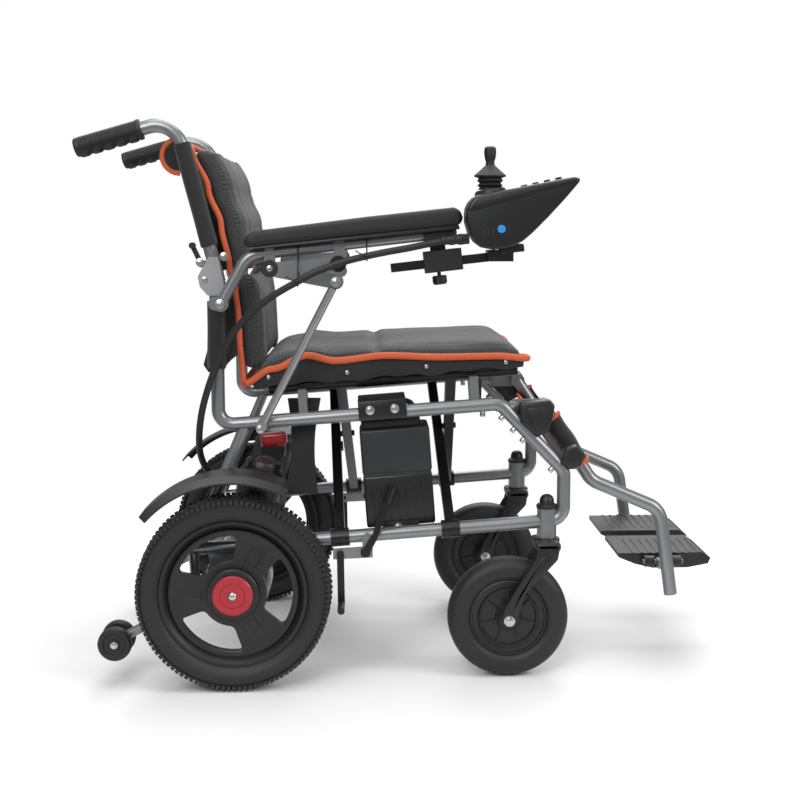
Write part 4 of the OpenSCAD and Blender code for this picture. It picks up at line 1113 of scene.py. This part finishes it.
def make_drive():
    y = -166
    body = turned([(0, -42), (26, -42), (28, -38), (50, -38), (54, -34), (55, -30), (55, 22), (52, 26),
                   (44, 27), (42, 33), (24, 36), (0, 36)], (AXLE.x, y, AXLE.z), (0, 1, 0), 72)
    lugs = [drum(around(AXLE, 50, 30 + 60 * i, y - 36), 6.5, 9, (0, 1, 0), 20, 1) for i in range(6)]
    neck = drum(Vector((AXLE.x, y, AXLE.z)) + Vector((0.225, 0, 0.974)) * 56, 30, 40, (0.225, 0, 0.974), 48,
                3)
    gear = joined([body, *lugs, neck], CAST)
    pair(gear, "gearbox_{}", CAST, "root", "cast_metal", ["drive_unit_{}"], 32)
    lean = Vector((0.225, 0, 0.974))
    motor = turned([(0, 70), (33, 70), (33, 74), (37, 76), (37, 96), (36, 97), (36, 99), (37, 100),
                    (37, 158), (36, 159), (36, 161), (37, 162), (37, 182), (34, 188), (31, 190), (31, 198),
                    (28, 203), (0, 203)], (AXLE.x, y, AXLE.z), lean, 64)
    top = Vector((AXLE.x, y, AXLE.z)) + lean * 176
    housing = turned([(0, -14), (20, -14), (24, -10), (25, 12), (22, 22), (0, 22)],
                     (top.x + 2, -118, top.z - 1), (0, 1, 0), 48)
    arm = block((top.x, -142, top.z), (34, 30, 32), 4, 13, 3)
    dark = joined([motor, housing, arm], PLASTIC, 32)
    pair(dark, "motor_{}", PLASTIC, "root", "black_plastic", angle=32)
    release = block((-220, -112, 383), (44, 34, 22), 5, -4, 4)
    pair(release, "motor_release_{}", LENS, "root", "red_plastic")
    loop = flowing([(-246, -176, 366), (-262, -190, 352), (-268, -196, 330), (-258, -198, 308),
                    (-250, -192, 292)], 4)
    pair(cordage(loop, 3.4, 4), "motor_lead_{}", SOFT, "root", "soft_rubber", angle=50)


make_drive()

# ---- calf strap ----


def lay_strap():
    """A band wrapped round both leg tubes, with bound edges."""
    reach, r = 187.0, 14.6
    wrap = math.pi * r
    total = 2 * wrap + 2 * reach

    def across(u):
        t = u * total
        if t < wrap:
            angle = t / r
            return -reach - r * math.sin(angle), -r * math.cos(angle)
        if t > total - wrap:
            angle = (total - t) / r
            return reach + r * math.sin(angle), -r * math.cos(angle)
        y = -reach + (t - wrap)
        return y, r + 3.0 * (1 - (y / reach) ** 2)

    along, normal = Vector((0.545, 0, -0.838)), Vector((-0.838, 0, -0.545))

    def shape(u, v):
        y, off = across(u)
        spot = Vector((230, 0, 446.5)) + along * (24 + 90 * v) + normal * off
        crease = 1.1 * math.sin(v * 9 + u * 14) * math.sin(math.pi * v)
        return spot.x + crease * normal.x, y, spot.z + crease * normal.z

    strap = cloth_sheet("calf_band", 120, 18, shape, 2.2, WEB, 60)
    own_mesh(strap)
    give(strap, "leg_r", "black_web", "calf_strap")
    for number, v in enumerate((0.0, 1.0)):
        line = [shape(i / 90, v) for i in range(91)]
        edge = settle(cordage(line, 3.6, 3), "calf_edge_{}".format(number), BINDING, 50)
        give(edge, "leg_r", "mesh_cloth")
        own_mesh(edge)


lay_strap()

# ---- covers on the back posts ----

POST_FOOT = Vector((-296.5, 0, 654.6))
POST_UP = Vector((-math.sin(BACK_LEAN), 0, math.cos(BACK_LEAN)))


def make_sleeves():
    def post(s, off=0.0):
        return Vector((POST_FOOT.x + POST_UP.x * s + off, -FRAME_Y, POST_FOOT.z + POST_UP.z * s))

    sleeve = turned([(11.6, 0), (13.6, 0), (13.9, 4), (13.4, 50), (13.9, 110), (13.6, 166), (11.6, 166),
                     (11.6, 0)], post(59), POST_UP, 40)
    pair(sleeve, "post_cover_{}", WEB, "back_{}", "black_web", angle=50)
    low_cover = turned([(11.6, -62), (14.6, -62), (15.2, -40), (13.8, 0), (13.6, 46), (11.6, 46),
                        (11.6, -62)], (-303, -FRAME_Y, 578), (0, 0, 1), 40)
    pair(low_cover, "lower_cover_{}", WEB, "root", "black_web", angle=50)
    tail = slab([(-302, 640), (-290, 640), (-286, 560), (-298, 506), (-318, 508), (-326, 520), (-306, 590)],
                -209, -205.5, 1, 2)
    pair(tail, "cover_tail_{}", WEB, "root", "black_web")
    middle_spot = post(205, -10)
    arc = []
    for degrees in range(90, 271, 15):
        angle = math.radians(degrees)
        arc.append((middle_spot.x + 27.6 * math.cos(angle), middle_spot.z + 27 * math.sin(angle)))
    pair(slab(arc, -212, -209.5, 0.6, 1), "flap_{}", WEB, "back_{}", "black_web")
    edge = cordage([(x, -210.8, z) for x, z in arc], 4.2, 3)
    pair(edge, "flap_edge_{}", BINDING, "back_{}", "mesh_cloth", angle=50)


def lay_back_cloth():
    for title, body, z0, z1 in (("back_cloth_lower", "root", 505, 640),
                                ("back_cloth_upper", "back_r", 668, 868)):
        def shape(u, v, z0=z0, z1=z1, body=body):
            z = z0 + (z1 - z0) * v
            if body == "root":
                x = -300 - 1.0 * math.sin(v * 6)
            else:
                x = POST_FOOT.x - (z - POST_FOOT.z) * math.tan(BACK_LEAN) - 1
            sag = 10 * (1 - (2 * u - 1) ** 2)
            return x - sag + 6, -206 + 412 * u, z

        cloth = cloth_sheet(title, 60, 30, shape, 1.4, WEB, 60)
        give(cloth, body, "black_web")
        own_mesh(cloth)


make_sleeves()
lay_back_cloth()

# ---- footplates, leg-rest hardware, bolts and ties ----


def make_foot_details():
    low, high = place("footplate_r")
    ribs = [block((low.x + 26 + 14 * i, (low.y + high.y) / 2 - 4, high.z + 0.2),
                  (4, high.y - low.y - 46, 2.0), 0.8) for i in range(9)]
    pair(joined(ribs, PLASTIC, 35), "foot_tread_{}", PLASTIC, "plate_{}",
         "black_plastic")


def make_leg_hardware():
    bracket = slab([(186, 456), (236, 462), (244, 452), (236, 412), (216, 400), (188, 424)], -233, -209, 4,
                   3)
    clip = slab([(254, 356), (262, 382), (280, 386), (293, 374), (288, 352), (268, 346)], -232, -205, 3, 3)
    web = slab([(196, 448), (228, 452), (234, 428), (212, 410)], -236, -231, 2, 2)
    pair(joined([bracket, clip, web], PLASTIC, 35), "leg_bracket_{}", PLASTIC, "root",
         "black_plastic")
    strap = slab([(108, 492), (128, 493), (127, 452), (109, 451)], -193, -189.5, 1, 2)
    pair(strap, "rail_clip_{}", PLASTIC, "root", "black_plastic")


def make_bolts():
    front = [(-325, -231.5, 686), (-318, -231.5, 659), (-287, -231.5, 695)]
    screws("hinge_bolt", front, "root", radius=5)
    screws("arm_bolt", [(-292, -256, 620.6)], "arm_{}", radius=6)
    link_y = place("arm_link_r")[0].y
    boss = turned([(5, -1.2), (12.5, -1.2), (13.5, 0), (13.5, 2), (5, 2), (5, -1.2)], (-213, link_y, 676.6),
                  (0, 1, 0), 40)
    pair(boss, "link_boss_{}", SOFT, "link_{}", "soft_rubber")
    halo = turned([(7, -1.0), (8.5, -1.6), (11.8, -1.6), (13, -0.6), (13, 1.5), (7, 1.5), (7, -1.0)],
                  (-105, link_y, 683.6), (0, 1, 0), 40)
    pair(halo, "latch_ring_{}", SOFT, "link_{}", "soft_rubber")
    screws("link_bolt", [(-213, link_y + 0.2, 676.6)], "link_{}", radius=4.2)
    strut_y = place("arm_strut_r")[0].y
    screws("strut_bolt", [(-231, strut_y + 0.3, 423.5), (-109, strut_y + 0.3, 655.6)], "strut_{}", radius=5)
    seat_spots = [(x, -205.2, z) for x, z in ((-221, 499), (-93, 506), (36, 515), (166, 521))]
    for piece in screws("seat_screw", seat_spots, "seat", radius=2.6):
        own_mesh(piece)
    under = [(127, 438), (158, 431), (177, 411), (193, 394), (240, 345)]
    nuts = [settle(drum((x, -FRAME_Y, z), 4.4, 9, (0.7, 0, 0.72) if x > 130 else (0, 0, 1), 16, 1), "n",
                   STEEL, 30) for x, z in under]
    pair(together(nuts), "under_nuts_{}", STEEL, "root", "light_steel", angle=30)


def make_ties():
    """Ties that hold the cable to the armrest, with loose tails."""
    for number, (x, tube_z, cable_y, cable_z) in enumerate(((-60, 718, -280, 696), (-168, 706, -282, 657))):
        ring = []
        for step in range(25):
            angle = 2 * math.pi * step / 24
            spread = 11.6 if math.cos(angle) > 0 else 7.2
            centre = Vector((x, -244, tube_z)) if math.cos(angle) > 0 else Vector((x, cable_y, cable_z))
            away = Vector((0, -244 - cable_y, tube_z - cable_z)).normalized()
            side = Vector((0, -away.z, away.y))
            ring.append(centre + away * spread * math.cos(angle) + side * spread * math.sin(angle))
        tail = flowing([(x, cable_y - 7, cable_z), (x - 10, cable_y - 12, cable_z + 4),
                        (x - 18, cable_y - 13, cable_z + 9)], 4)
        parts = [settle(cordage(ring, 1.1, 2), "t", SOFT, 50), settle(cordage(tail, 0.9, 2), "t", SOFT, 50)]
        give(settle(together(parts), "cable_tie_{}".format(number + 1), SOFT, 50), "arm_r", "soft_rubber")


def hang_strap():
    """A black tie-down strap hanging over the side tube on the operator's right."""
    def shape(u, v):
        z = 463 - 160 * v
        x = -164 + (u - 0.5) * (54 - 16 * math.sin(math.pi * v)) - 6 * v
        y = -196 + 5 * math.sin(v * 7 + u * 2.2) + 6 * v * (u - 0.5)
        return x, y, z
    strap = cloth_sheet("side_strap", 24, 60, shape, 2.0, WEB, 60)
    give(strap, "root", "black_web")


hang_strap()
make_foot_details()
make_leg_hardware()
make_bolts()
make_ties()
